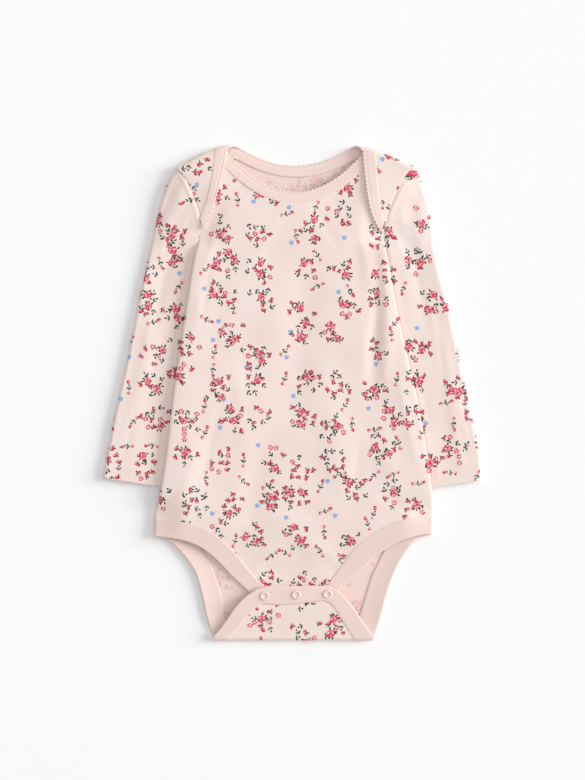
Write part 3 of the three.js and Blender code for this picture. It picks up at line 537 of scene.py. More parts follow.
class Sheet:
    """Grids of points on the middle of a wall, joined where they meet, each with its flat pattern place."""

    def __init__(self, wall):
        self.wall = wall
        self.grids = []

    def add(self, points, pattern, halves=None):
        """points and pattern are arrays of rows by columns by 3 and by 2. halves is half the wall there."""
        if halves is None:
            halves = np.full(points.shape[:2], self.wall / 2)
        self.grids.append((points, pattern, halves))
        return self

    def joined(self):
        """Points, half walls, four-cornered faces and the pattern places of their corners."""
        points = np.concatenate([grid[0].reshape(-1, 3) for grid in self.grids])
        halves = np.concatenate([grid[2].reshape(-1) for grid in self.grids])
        keys = np.round(points * 200).astype(int)
        _, first, ids = np.unique(keys, axis=0, return_index=True, return_inverse=True)
        ids = ids.reshape(-1)
        faces, places, start = [], [], 0
        for grid_points, pattern, _ in self.grids:
            rows, count = grid_points.shape[:2]
            table = ids[start : start + rows * count].reshape(rows, count)
            start += rows * count
            for source, target in ((table, faces), (pattern, places)):
                corners = [source[:-1, :-1], source[:-1, 1:], source[1:, 1:], source[1:, :-1]]
                target.append(np.stack(corners, axis=2))
        faces = np.concatenate([part.reshape(-1, 4) for part in faces])
        places = np.concatenate([part.reshape(-1, 4, 2) for part in places])
        real = (faces != np.roll(faces, -1, axis=1)).sum(axis=1) > 2
        return points[first], halves[first], faces[real], places[real]

    def build(self, name, outer, inner=None, up=True):
        """A mesh object. up says that the grids' normals point to the side with the outer material."""
        points, halves, faces, places = self.joined()
        if not up:
            faces, places = faces[:, ::-1], places[:, ::-1]
        corners = points[faces]
        cross = np.cross(corners[:, 2] - corners[:, 0], corners[:, 3] - corners[:, 1])
        area = np.linalg.norm(cross, axis=1).sum() / 2
        normals = np.zeros_like(points)
        for corner in range(4):
            np.add.at(normals, faces[:, corner], cross)
        normals /= np.maximum(np.linalg.norm(normals, axis=1, keepdims=True), 1e-9)
        count = len(points)
        verts = np.vstack([points + normals * halves[:, None], points - normals * halves[:, None]])

        starts, ends = faces, np.roll(faces, -1, axis=1)
        forward, backward = (starts * count + ends).reshape(-1), (ends * count + starts).reshape(-1)
        free = (~np.isin(forward, backward) & (forward != backward)).reshape(faces.shape)
        place_ends = np.roll(places, -1, axis=1)
        a, b = starts[free], ends[free]
        rim = np.stack([a, a + count, b + count, b], axis=1)
        rim_places = np.stack([places[free], places[free], place_ends[free], place_ends[free]], axis=1)
        all_faces = np.concatenate([faces, faces[:, ::-1] + count, rim])
        all_places = np.concatenate([places, places[:, ::-1], rim_places])
        slots = [0] * len(faces) + [1 if inner else 0] * len(faces) + [0] * len(rim)

        whole = (all_faces != np.roll(all_faces, -1, axis=1)).all(axis=1)
        kept, kept_places, kept_slots = [], [], []
        for face, place, slot, is_whole in zip(all_faces.tolist(), all_places, slots, whole):
            if is_whole:
                kept.append(face)
                kept_places.append(place)
            else:
                order = [i for i in range(4) if face[i] != face[i - 1]]
                kept.append([face[i] for i in order])
                kept_places.append(place[order])
            kept_slots.append(slot)
        mesh = smooth_mesh(name, verts, kept, outer, *([inner] if inner else []))
        mesh.polygons.foreach_set("material_index", kept_slots)
        mesh.set_sharp_from_angle(angle=math.radians(50))
        layer = mesh.uv_layers.new(name="pattern")
        layer.data.foreach_set("uv", (np.concatenate(kept_places).reshape(-1) * MM).tolist())
        mesh.update()
        obj = add_object(name, mesh)
        obj["flat_area"] = area * MM * MM
        return obj


def stack(x, y, z):
    return np.stack(np.broadcast_arrays(x, y, z), axis=-1)


FOLD_ROWS = 15


def unfolded(grid, direction):
    """Flat pattern places of a part that turns over a fold, as if it were opened out along +Y or -Y."""
    start, flat = grid[0, :, :2], grid[FOLD_ROWS + 1 :, :, :2]
    fold = grid[: FOLD_ROWS + 1]
    steps = np.hypot(np.diff(fold[..., 1], axis=0), np.diff(fold[..., 2], axis=0))
    round_fold = np.vstack([np.zeros(grid.shape[1]), np.cumsum(steps, axis=0)])
    line = (start[-1] - start[0]) / np.linalg.norm(start[-1] - start[0])
    outward = np.array([-line[1], line[0]]) * direction

    def mirrored(point):
        reach = (point - start[0]) @ outward
        return point + outward * (round_fold[-1] - 2 * reach)[..., None]

    over = start + outward * round_fold[..., None]
    last = grid[FOLD_ROWS, :, :2]
    shift = over[-1] - mirrored(last)
    fade = np.exp(-np.linalg.norm(flat - last, axis=2) / 12)
    return np.concatenate([over, mirrored(flat) + shift * fade[..., None]])


# The body


FOLD_TURNS = np.array([-12, 0, 14, 28, 42, 56, 72], float)


def columns_at(shares):
    """share of the flat width, turn round the side fold and side for each column."""
    left = [(0.0, turn, -1) for turn in FOLD_TURNS]
    flat = [(share, 90.0, 0) for share in shares]
    right = [(1.0, turn, 1) for turn in FOLD_TURNS[::-1]]
    return np.array(left + flat + right).T


def side_to_side(columns, y, left=None, right=None):
    """x of each column at the heights y, and how far its side fold has turned down there."""
    share, turn, side = columns
    left = left_side(y) if left is None else left
    right = right_side(y) if right is None else right
    turn = np.radians(np.maximum(turn, turn * side_roll(y)))
    start, end = left + CLOTH / 2 + FOLD_REACH, right - CLOTH / 2 - FOLD_REACH
    x = mix(start, end, share) + side * (FOLD_REACH + (1 - side_roll(y)) * ARMHOLE_REACH) * np.cos(turn)
    drop = np.abs(side) * side_roll(y) * SIDE_FOLD * (1 - np.sin(turn))
    return x, drop


def towards(columns, from_y, outline, share):
    y = np.full(columns.shape[1], float(from_y))
    for _ in range(14):
        y = mix(from_y, outline(side_to_side(columns, y)[0]), share)
    x, drop = side_to_side(columns, y)
    return x, y, drop


def body_rows(columns, bottom, top):
    """Rows of x, y and drop from the leg seams up to the shoulders."""
    rows = [towards(columns, HIP_Y, bottom, share) for share in np.linspace(1, 0.03, 36)]
    for y in np.linspace(HIP_Y, BODY_TOP_Y, 76):
        y = np.full(columns.shape[1], y)
        x, drop = side_to_side(columns, y)
        rows.append((x, y, drop))
    rows += [towards(columns, BODY_TOP_Y, top, share) for share in np.linspace(0.02, 1, 46)]
    return [np.array(part) for part in zip(*rows)]


def spread_out(points):
    """Flat pattern places of rows that turn down at their ends: lengths along each row replace its x."""
    steps = np.hypot(np.diff(points[..., 0], axis=1), np.diff(points[..., 2], axis=1))
    across = np.hstack([np.zeros((len(points), 1)), np.cumsum(steps, axis=1)])
    middle = points.shape[1] // 2
    across += (points[:, middle, 0] - across[:, middle])[:, None]
    return np.stack([across, points[..., 1]], axis=-1)


def front_panel():
    columns = columns_at(np.linspace(0, 1, 109))
    top = lambda x: np.minimum(shoulder_y(x) - INSIDE_SHOULDER, front_neck_seam(x))
    bottom = lambda x: front_leg_y(x) - TUCK
    x, y, drop = body_rows(columns, bottom, top)
    z = front_height(x, y) - drop + front_finish(x, y)
    points = stack(x, y, z)
    return Sheet(CLOTH).add(points, spread_out(points))


def fold_over(row, direction, top, turns):
    """Rows that carry a row of points round a fold that bulges along +Y or -Y, up to the height top."""
    x, y, z = row.T
    radius = (top - z) / 2
    return np.array(
        [
            stack(x, y + direction * radius * np.sin(turn), z + radius * (1 - np.cos(turn)))
            for turn in np.radians(turns)
        ]
    )


LAP_RADIUS = (FRONT_LEVEL + LAP_STEP - CLOTH / 2) / 2
RIB_FOLD_RADIUS = (FRONT_LEVEL + LAP_STEP - RIB / 2) / 2


def shoulder_start(x, wall, radius):
    return shoulder_y(x) - wall / 2 - radius


def back_top_y(x):
    fold = shoulder_start(x, CLOTH, LAP_RADIUS)
    in_lap = (x < LAP_INNER_X["left"] + TUCK) | (x > LAP_INNER_X["right"] - TUCK)
    return np.where(in_lap, fold, np.minimum(fold, back_neck_seam(x)))


def share_at(x, y):
    start = left_side(y) + CLOTH / 2 + FOLD_REACH
    end = right_side(y) - CLOTH / 2 - FOLD_REACH
    return float((x - start) / (end - start))


LAP_FLAT_COLUMNS = 18


def back_columns():
    left = share_at(LAP_INNER_X["left"] + TUCK, 190)
    right = share_at(LAP_INNER_X["right"] - TUCK, 190)
    return columns_at(
        np.concatenate(
            [
                np.linspace(0, left, LAP_FLAT_COLUMNS),
                np.linspace(left, right, 66)[1:-1],
                np.linspace(right, 1, LAP_FLAT_COLUMNS),
            ]
        )
    )


def back_panel():
    columns = back_columns()
    leg = trail(BACK_LEG)
    share, turn, side = columns
    below = []
    for number in np.linspace(0, len(BACK_LEG) - 1, 70):
        left_x, left_y, right_x, right_y = leg(number)
        y = np.full(len(share), 0.5 * (left_y + right_y))
        x, _ = side_to_side(columns, y, left_x - TUCK, right_x + TUCK)
        y = mix(left_y, right_y, (x - left_x) / (right_x - left_x))
        below.append((x, y, np.zeros(len(share))))
    below = [np.array(part) for part in zip(*below)]
    hip_left_x, hip_left_y, hip_right_x, hip_right_y = BACK_LEG[-1]
    hip = lambda x: mix(hip_left_y, hip_right_y, (x - hip_left_x) / (hip_right_x - hip_left_x)) + 0.4
    above = body_rows(columns, hip, back_top_y)
    x, y, drop = (np.vstack(pair) for pair in zip(below, above))
    z = back_height(x, y) + drop * ease(-104, -100, y)
    main = stack(x, y, z)
    sheet = Sheet(CLOTH).add(main, spread_out(main))
    lap_columns = len(FOLD_TURNS) + LAP_FLAT_COLUMNS
    for side_name, part in (("left", slice(None, lap_columns)), ("right", slice(-lap_columns, None))):
        grid = lap(main[-1][part], side_name)
        sheet.add(grid, unfolded(grid, 1))
    grid = flap(main[0])
    sheet.add(grid[::-1], unfolded(grid, -1)[::-1])
    return sheet


def lap(start, side):
    """A printed lap: round the shoulder fold and down the front, between the armhole and its binding."""
    away, armhole = SIDES[side]
    tip, last = (start[0], start[-1]) if side == "left" else (start[-1], start[0])
    across = (start[:, 0] - tip[0]) / (last[0] - tip[0])
    fold = fold_over(start, 1, lap_height(start[:, 0], start[:, 1]), np.linspace(12, 180, FOLD_ROWS))
    fold[..., 0] += (1 - across) * (armhole(fold[..., 1]) - armhole(start[:, 1]))
    inner = trail(LAP_BINDINGS[side])
    last_row = len(LAP_BINDINGS[side]) - 1
    bottom_y = LAP_BINDINGS[side][0][3] + 1.5
    numbers = np.linspace(last_row - 0.12, 0.2, 40)
    rows = []
    for number in numbers:
        _, _, seam_x, seam_y = inner(number)
        share = (last_row - number) / (last_row - 0.2)
        outer_y = mix(tip[1], bottom_y, share)
        x = mix(armhole(outer_y) + away * 0.05, seam_x - away * TUCK, across)
        y = mix(outer_y, seam_y, across)
        from_seam = np.abs(x - armhole(y))
        soft = ease(0, 4, from_seam) * (0.4 * swell(x, y, 5.2) + 0.5 * fold_height(BODY_CREASES, x, y))
        rows.append(stack(x, y, lap_height(x, y) + soft - seam_dip(from_seam)))
    return np.concatenate([start[None], fold, np.array(rows)])


def flap(start):
    """The crotch flap: round the bottom fold and up the front as far as its tape."""
    fold = fold_over(start, -1, np.full(len(start), FLAP_FOLD_LEVEL), np.linspace(12, 180, FOLD_ROWS))
    left, right = trail(LEG_BINDINGS["left"]["flap"]), trail(LEG_BINDINGS["right"]["flap"])
    _, _, tape_x, tape_y = columns_of(FLAP_TAPE)
    tape_seam = curve(tape_x, tape_y)
    last_row = len(LEG_BINDINGS["left"]["flap"]) - 1
    across = (start[:, 0] - start[0, 0]) / (start[-1, 0] - start[0, 0])

    def plan(number):
        _, _, left_x, left_y = left(number)
        _, _, right_x, right_y = right(number)
        return mix(left_x - TUCK, right_x + TUCK, across), mix(left_y, right_y, across)

    edge_x, edge_y = plan(last_row)
    rows = []
    for number in np.linspace(0.25, last_row, 26):
        x, y = plan(number)
        y = y + (tape_seam(edge_x) + TUCK - edge_y) * (number / last_row) ** 2
        under_tape = np.exp(-(((tape_seam(x) - y + 1.5) / 3.0) ** 2))
        rows.append(stack(x, y, flap_height(x, y) + 0.35 * swell(x, y, 2.1) - 0.6 * under_tape))
    return np.concatenate([start[None], fold, np.array(rows)])


# Sleeves


def sleeve_top(x, y, in_from_outer):
    """Middle of a sleeve's upper layer, which is raised beside the body and sinks towards the outer fold."""
    out = -in_from_side(x, y)
    at_armhole = mix(ARMHOLE_LEVEL, FRONT_LEVEL + LAP_STEP, ease(132, 146, y))
    under_body = mix(UNDER_EDGE, at_armhole, ease(108, 130, y))
    right = mix(*RIGHT_BESIDE_BODY, ease(98, 120, y))
    left = mix(UNDER_EDGE, ARMHOLE_LEVEL, ease(110, 128, y))
    beside_body = np.maximum(under_body, np.where(x > 0, right, left))
    near_body = mix(under_body, beside_body, ease(0.2, 1.6, out))
    middle = mix(SLEEVE_CROWN, ARMHOLE_LEVEL, ease(90, 150, y))
    edge = mix(SLEEVE_EDGE, ARMHOLE_LEVEL, ease(120, 180, y))
    raised = mix(near_body, middle, ease(1.5, np.where(x > 0, 22, 30), out))
    quiet = ease(3, 14, out) * ease(1, 9, in_from_outer)
    finish = fold_height(SLEEVE_FOLDS, x, y) + fold_height(SLEEVE_CREASES, x, y) + 0.8 * swell(x, y, 3.3)
    return mix(edge, raised, ease(0, 13, in_from_outer)) + quiet * finish


def sleeve(side):
    """A sleeve as rings round its tube, from the armhole to the cuff."""
    rows = trail(SLEEVES[side])
    away, armhole = SIDES[side]
    wall_half = CLOTH / 2
    numbers = np.concatenate([np.linspace(0, 3, 46), np.linspace(3.06, 9.0, 78), np.linspace(9.04, 10, 16)])
    upper_shares, lower_shares = np.linspace(0, 1, 46), np.linspace(1, 0, 22)
    turns = np.radians(np.linspace(12, 168, 13))
    outer_turns = turns[::-1]
    middle_turn = np.array([np.pi / 2])
    inner_down = np.concatenate([middle_turn, turns[turns > np.pi / 2 + 0.01]])
    inner_up = np.concatenate([turns[turns < np.pi / 2 - 0.01], middle_turn])
    edge_x, edge_y, _, _ = columns_of(SLEEVES[side])
    outer_edge_x = curve(edge_y[::-1], edge_x[::-1])
    points, places = [], []
    for number in numbers:
        outer_x, outer_y, inner_x, inner_y = (float(n) for n in rows(number))
        length = math.hypot(inner_x - outer_x, inner_y - outer_y)
        bend = float(ease(2.5, 0, number))

        def plan(distance):
            share = distance / length
            x, y = mix(outer_x, inner_x, share), mix(outer_y, inner_y, share)
            bow = armhole(y) - away * 0.05 - x
            if number == 0:
                return x + bow, y
            return x + bow * bend * bend * np.minimum(4 * share * (1 - share), 1) * 0.8, y

        def height(distance):
            x, y = plan(distance)
            out = -in_from_side(x, y)
            up_from_cuff = (len(SLEEVES[side]) - 1 - number) * CUFF_ROW
            hem = HEM_RISE * ease(HEM_HEIGHT + 0.8, HEM_HEIGHT - 0.8, up_from_cuff) * ease(2, 6, out)
            ridge = 0.28 * np.exp(-(((out - 2.9) / 1.6) ** 2)) - seam_dip(out)
            return sleeve_top(x, y, distance) + hem + ridge * ease(132, 150, y) * ease(2.5, 0, number)

        outer_radius, inner_radius = (height(0.0) - wall_half) / 2, (height(length) - wall_half) / 2
        first, last = outer_radius + wall_half, length - inner_radius - wall_half
        upper, lower = mix(first, last, upper_shares), mix(first, last, lower_shares)
        near, far = (height(last) - wall_half) / 2, (height(first) - wall_half) / 2
        # From the middle of the inner fold: underneath to the outer fold, and back over the top
        stretches = [
            (last + near * np.sin(inner_down), wall_half + near * (1 + np.cos(inner_down))),
            (lower, np.full(len(lower), wall_half)),
            (first - far * np.sin(outer_turns), wall_half + far * (1 + np.cos(outer_turns))),
            (upper, height(upper)),
            (last + near * np.sin(inner_up), wall_half + near * (1 + np.cos(inner_up))),
        ]
        distance, z = (np.concatenate(part) for part in zip(*stretches))
        x, y = plan(distance)
        ring = stack(x, y, z)
        around = np.concatenate([[0], np.cumsum(np.linalg.norm(np.diff(ring, axis=0), axis=1))])
        around -= around[len(inner_down) + len(lower) + len(turns) // 2]
        unit = np.array([inner_x - outer_x, inner_y - outer_y]) / length
        edge = np.array([outer_x, outer_y])
        over = edge + np.abs(around)[:, None] * unit
        under = np.stack([2 * outer_edge_x(over[:, 1]) - over[:, 0], over[:, 1]], axis=1)
        places.append(np.where(around[:, None] > 0, over, under))
        points.append(ring)
    return Sheet(CLOTH).add(np.array(points), np.array(places))


# Bindings


def rib_profile(width):
    """Distances in from a binding's free edge, round at the fold, and half its wall at each."""
    half = RIB / 2
    turn = np.radians(np.linspace(8, 90, 7))
    flat_in = np.linspace(half + 0.5, width - 1.0, 9)
    inward = [half * (1 - np.cos(turn)), flat_in, [width - 0.6, width - 0.2, width]]
    halves = [half * np.sin(turn), np.full(9, half), [half * 0.94, half * 0.74, half * 0.5]]
    return np.concatenate(inward), np.concatenate(halves)


class Ribbon:
    """Cross rows of a binding, gathered along its length. A picot one has a scalloped free edge."""

    def __init__(self, picot=False, rows=()):
        self.picot = picot
        self.rows = list(rows)
        self.inward, self.half = rib_profile(NECK_BINDING if picot else LEG_BINDING)

    def row(self, free, seam, height, curl=0):
        """Adds a row from the free edge to the seam at a function's heights. curl lifts the free edge."""
        share = self.inward / self.inward[-1]
        x, y = mix(free[0], seam[0], share), mix(free[1], seam[1], share)
        self.rows.append(stack(x, y, height(x, y) + curl * (1 - share) ** 1.6))

    def rows_of(self, table, height, spacing=1.6, span=None, curl=None):
        along = trail(table)
        first, last = span or (0, len(table) - 1)
        ends = np.hypot(*np.diff(np.array(table)[:, :2], axis=0).T)
        count = max(4, int(ends.sum() * abs(last - first) / (len(table) - 1) / spacing))
        for number in np.linspace(first, last, count):
            free_x, free_y, seam_x, seam_y = along(number)
            self.row((free_x, free_y), (seam_x, seam_y), height, curl(free_y) if curl else 0)
        return self

    def scalloped(self, points, along):
        """Points and half walls, with scallops along the free edge and a stitched groove beside them."""
        scallop = np.abs(np.sin(np.pi * along / PICOT_PITCH)) ** 0.8
        outward = points[:, 0] - points[:, 7]
        outward /= np.linalg.norm(outward, axis=1, keepdims=True)
        fade = np.clip(1 - self.inward / 2.8, 0, 1) ** 1.3
        push = (PICOT_HEIGHT * (scallop - 0.55))[:, None, None] * fade[None, :, None]
        groove = 0.42 * np.exp(-(((self.inward - 1.9) / 0.7) ** 2))
        return points + outward[:, None, :] * push, self.half * (1 - groove * (1 - 0.45 * scallop)[:, None])

    def sheet(self):
        points = np.array(self.rows)
        halves = np.tile(self.half, (len(points), 1))
        along = np.concatenate([[0], np.cumsum(np.linalg.norm(np.diff(points[:, 6], axis=0), axis=1))])
        if self.picot:
            fine = np.arange(0, along[-1], PICOT_PITCH / 7)
            columns = [np.interp(fine, along, column) for column in points.reshape(len(points), -1).T]
            points = np.array(columns).T.reshape(len(fine), -1, 3)
            along = fine
            points, halves = self.scalloped(points, along)
        places = stack(along[:, None], self.inward[None], 0)[..., :2]
        return Sheet(RIB).add(points, places, halves)


def turned(high, low, turns, away):
    """Rows between two rows of points, round a fold that bulges along X."""
    rows = []
    radius = (high[:, 2] - low[:, 2]) / 2
    for turn in np.radians(turns):
        share = turn / np.pi
        rows.append(
            stack(
                mix(high[:, 0], low[:, 0], share) + away * radius * np.sin(turn),
                mix(high[:, 1], low[:, 1], share),
                low[:, 2] + radius * (1 + np.cos(turn)),
            )
        )
    return rows


def back_curl(y):
    """How far the rib's free edge lifts off the ground, between the hip and the bottom fold."""
    return BACK_CURL * ease(-110, -128, y) * ease(-198, -184, y)


def round_corner(rows, away):
    """Draws the free edge in where a binding turns over the bottom fold."""
    rounded = []
    for row in rows:
        drop = np.clip((BOTTOM_FOLD_Y + 1.8 - row[0, 1]) / 4.2, 0, 1)
        inward = np.hypot(row[:, 0] - row[0, 0], row[:, 1] - row[0, 1])
        rounded.append(row - np.array([away, 0, 0]) * (1.9 * drop**2 * ease(9, 0, inward))[:, None])
    return rounded


def leg_binding(side):
    tables = LEG_BINDINGS[side]
    away, _ = SIDES[side]
    front = Ribbon().rows_of(tables["front"], front_height).rows
    back = Ribbon().rows_of(tables["back"], level(RIB_GROUND), curl=back_curl).rows
    up = Ribbon().rows_of(tables["flap"], flap_height).rows
    hip = turned(front[-1], back[0], np.linspace(15, 165, 11), away)
    bottom = fold_over(back[-1], -1, FLAP_FOLD_LEVEL, np.linspace(15, 180, 12))
    return Ribbon(rows=[*front, *hip, *round_corner([*back, *bottom, *up], away)]).sheet()


def front_neck_binding():
    ribbon = Ribbon(picot=True)
    left_x, right_x = -54.1, 58.4
    # free x, and the place on the parabola that the seam is measured from
    ends = [(left_x, -56.3), *((x, x) for x in np.linspace(left_x, right_x, 120)), (right_x, 60.8)]
    for free_x, seam_from in ends:
        free, seam = (free_x, neck_y(FRONT_NECK, free_x)), neck_point(FRONT_NECK, seam_from, NECK_BINDING)
        ribbon.row(free, seam, front_height)
    return ribbon.sheet()


def shoulder_turn(side):
    """Rows of the neck binding up a lap's edge, round the shoulder fold and on to the back neck."""
    back_free, back_seam, front_free, front_seam = NECK_CORNERS[side]
    share = rib_profile(NECK_BINDING)[0] / NECK_BINDING

    def along_fold(free_x, seam_x, z):
        x = mix(free_x, seam_x, share)
        return stack(x, shoulder_start(x, RIB, RIB_FOLD_RADIUS), z)

    low = along_fold(back_free, back_seam, RIB_GROUND)
    high = along_fold(front_free, front_seam, FRONT_LEVEL + LAP_STEP)
    fold = []
    for degrees in np.linspace(168, 12, 14):
        turn = math.radians(degrees)
        x = mix(low[:, 0], high[:, 0], degrees / 180)
        y = shoulder_start(x, RIB, RIB_FOLD_RADIUS) + RIB_FOLD_RADIUS * math.sin(turn)
        fold.append(stack(x, y, low[:, 2] + RIB_FOLD_RADIUS * (1 - math.cos(turn))))
    table = LAP_BINDINGS[side]
    lap_edge = Ribbon(picot=True).rows_of(table, lap_height, span=(0, len(table) - 1.15)).rows
    return [*lap_edge, high, *fold, low]


def back_neck_binding():
    middle = Ribbon(picot=True)
    for x in np.linspace(NECK_CORNERS["left"][0], NECK_CORNERS["right"][0], 90):
        free, seam = (x, neck_y(BACK_NECK, x)), neck_point(BACK_NECK, x, NECK_BINDING)
        middle.row(free, seam, level(RIB_GROUND))
    rows = [*shoulder_turn("left"), *middle.rows, *shoulder_turn("right")[::-1]]
    return Ribbon(picot=True, rows=rows).sheet()


def tape(table, height):
    return Ribbon().rows_of(table, height).sheet()


# Materials


class Graph:
    """A material's nodes, with short calls for the ones used here."""

    def __init__(self, name):
        self.material = bpy.data.materials.new(name)
        self.material.use_nodes = True
        self.tree = self.material.node_tree
        self.shader = self.tree.nodes["Principled BSDF"]

    def put(self, socket, value):
        if isinstance(value, bpy.types.NodeSocket):
            self.tree.links.new(value, socket)
        elif value is not None:
            socket.default_value = value

    def node(self, kind, *values, **settings):
        """A new node with its settings, and its first inputs linked or set."""
        node = self.tree.nodes.new("ShaderNode" + kind)
        for setting, value in settings.items():
            setattr(node, setting, value)
        for socket, value in zip(node.inputs, values):
            self.put(socket, value)
        return node

    def math(self, operation, a, b=None, c=None):
        return self.node("Math", a, b, c, operation=operation).outputs[0]

    def vector(self, operation, a, b=None, scale=None):
        return self.node("VectorMath", a, b, None, scale, operation=operation).outputs["Vector"]

    def split(self, vector):
        return self.node("SeparateXYZ", vector).outputs

    def join(self, x, y, z=0.0):
        return self.node("CombineXYZ", x, y, z).outputs[0]

    def blend(self, share, a, b):
        node = self.tree.nodes.new("ShaderNodeMix")
        node.data_type = "RGBA"
        self.put(node.inputs["Factor"], share)
        self.put(node.inputs[6], a)
        self.put(node.inputs[7], b)
        return node.outputs[2]

    def spread(self, value, low, high, to_low=0.0, to_high=1.0):
        """A value's place between low and high, clamped and smoothed."""
        values = (value, low, high, to_low, to_high)
        return self.node("MapRange", *values, interpolation_type="SMOOTHSTEP").outputs[0]

    def cells(self, vector, pitch, randomness):
        """Distance in mm, colour and place of the nearest point of an uneven lattice."""
        node = self.node("TexVoronoi", voronoi_dimensions="2D")
        self.put(node.inputs["Vector"], vector)
        node.inputs["Scale"].default_value = 1 / pitch
        node.inputs["Randomness"].default_value = randomness
        distance, colour, middle = (node.outputs[name] for name in ("Distance", "Color", "Position"))
        return self.math("MULTIPLY", distance, pitch), self.split(colour), middle

    def clouds(self, vector, scale, detail):
        node = self.node("TexNoise")
        self.put(node.inputs["Vector"], vector)
        node.inputs["Scale"].default_value = scale
        node.inputs["Detail"].default_value = detail
        return node.outputs

    def noise(self, vector, scale, detail=2.0):
        return self.clouds(vector, scale, detail)["Fac"]

    def wander(self, vector, scale, reach):
        """An uneven push of up to the reach, which takes the ruler out of what is drawn with it."""
        centred = self.vector("SUBTRACT", self.clouds(vector, scale, 1.0)["Color"], (0.5, 0.5, 0.5))
        return self.vector("MULTIPLY", centred, (reach * 2, reach * 2, 0.0))

    def turned(self, vector, angle):
        node = self.node("VectorRotate", rotation_type="Z_AXIS")
        self.put(node.inputs["Vector"], vector)
        self.put(node.inputs["Angle"], angle)
        return node.outputs[0]

    def pattern(self):
        """The flat pattern place in millimetres."""
        node = self.node("UVMap", uv_map="pattern")
        return self.vector("SCALE", node.outputs[0], scale=1000.0)

    def object_place(self):
        return self.node("TexCoord").outputs["Object"]

    def bump(self, height, distance, strength=1.0):
        node = self.node("Bump")
        self.put(node.inputs["Height"], height)
        node.inputs["Distance"].default_value = distance
        node.inputs["Strength"].default_value = strength
        return node.outputs[0]


def rgb(red, green, blue):
    """A display colour from 0 to 255 as the linear colour that the shaders take."""
    parts = [n / 255 for n in (red, green, blue)]
    return tuple(n / 12.92 if n <= 0.04045 else ((n + 0.055) / 1.055) ** 2.4 for n in parts) + (1.0,)


GROUND = rgb(243, 221, 213)
RIB_COLOUR = rgb(243, 220, 212)
PLAIN_RIB_COLOUR = rgb(237, 213, 205)
CRIMSON = rgb(190, 28, 62)
PINK = rgb(222, 92, 116)
PETAL = rgb(244, 196, 198)
LEAF = rgb(38, 70, 60)
STEM = rgb(70, 98, 84)
HEART = rgb(150, 178, 222)

# Distances between the middles of the print's clusters and of its motifs
CLUSTER_PITCH = 32.0
HEART_PITCH = 34.0
SPRIG_PITCH = 22.0
BUD_PITCH = 5.9
ROSE_PITCH = 11.8
PRINT_SHIFT = (640.0, 320.0, 0.0)  # which part of the endless print lies on the pattern
KNIT_PITCH = 0.62
RIB_PITCH = 1.25
FULL_TURN = 2 * math.pi

# Motifs in millimetres round their own middles, painted in this order:
# x, y, half width, half height, angle and colour of each oval, and whether the other side repeats it
ROSE = [
    (-2.5, -2.9, 1.7, 0.75, 52, LEAF, False),
    (2.3, -3.3, 1.6, 0.7, -58, LEAF, False),
    (0.2, -4.3, 0.6, 1.2, 8, LEAF, False),
    (3.1, 2.3, 1.3, 0.55, 48, LEAF, False),
    (0.0, 0.0, 2.75, 3.35, 6, CRIMSON, False),
    (-0.35, -1.35, 2.25, 1.75, -14, PINK, False),
    (1.75, 0.2, 0.85, 1.75, -12, PINK, False),
    (-1.5, 0.75, 0.62, 1.45, 16, PETAL, False),
    (0.25, 1.05, 1.25, 1.35, 30, PINK, False),
    (0.15, 0.75, 0.78, 1.0, -20, CRIMSON, False),
    (0.5, 1.1, 0.36, 0.55, -30, PETAL, False),
    (0.75, -1.75, 1.35, 0.5, 24, PETAL, False),
    (-1.1, -2.35, 0.8, 0.34, -28, PETAL, False),
    (2.25, 1.35, 0.3, 0.85, -10, PETAL, False),
]
BUD = [
    (1.15, -1.6, 1.25, 0.55, -40, LEAF, True),
    (0.0, -2.2, 0.2, 1.1, 0, STEM, False),
    (0.0, 0.35, 1.5, 1.85, 0, CRIMSON, False),
    (0.35, 0.1, 0.85, 1.2, 12, PINK, False),
    (0.55, 0.75, 0.5, 0.62, 30, PETAL, False),
    (-0.2, 0.5, 0.35, 0.8, 10, CRIMSON, False),
]
OPEN_FLOWER = [
    (1.2, 0.6, 1.0, 0.85, 30, PINK, True),
    (0.75, -1.0, 0.85, 0.95, -20, CRIMSON, True),
    (0.0, 1.55, 0.8, 0.75, 0, CRIMSON, False),
    (0.0, 0.1, 1.2, 1.15, 0, PETAL, False),
    (0.25, 0.0, 0.45, 0.4, 0, PINK, False),
]
SPRAY = [
    (0.0, -0.3, 0.18, 2.3, 0, STEM, False),
    (1.1, -0.5, 1.4, 0.62, 42, LEAF, True),
    (0.1, 2.0, 0.62, 1.15, 0, LEAF, False),
]
SPRIG = [
    (0.0, -0.2, 0.2, 3.9, 0, STEM, False),
    (1.15, -0.5, 1.4, 0.62, 42, LEAF, True),
    (0.9, 1.9, 0.95, 0.45, 50, LEAF, False),
    (0.0, 4.6, 1.35, 1.7, 0, CRIMSON, False),
    (0.3, 4.5, 0.75, 1.1, 14, PINK, False),
    (0.5, 5.1, 0.4, 0.55, 20, PETAL, False),
    (-0.2, -4.6, 1.5, 1.35, 0, PINK, False),
    (-0.7, -5.0, 0.7, 0.6, 20, CRIMSON, False),
    (0.3, -4.4, 0.8, 0.75, 0, PETAL, False),
]


def inside(graph, value, edge, softness):
    """1 where a value is under an edge, fading over a small softness."""
    return graph.spread(value, edge + softness, edge - softness)


def oval(graph, x, y, centre, half_sizes, angle):
    """How far out a point is from an oval's middle, squared, where 1 is its edge."""
    turn = math.radians(angle)
    dx, dy = graph.math("SUBTRACT", x, centre[0]), graph.math("SUBTRACT", y, centre[1])
    along, across = half_sizes
    sine, cosine = math.sin(turn), math.cos(turn)
    u = graph.math("MULTIPLY_ADD", dx, cosine / along, graph.math("MULTIPLY", dy, sine / along))
    v = graph.math("MULTIPLY_ADD", dy, cosine / across, graph.math("MULTIPLY", dx, -sine / across))
    return graph.math("MULTIPLY_ADD", u, u, graph.math("MULTIPLY", v, v))


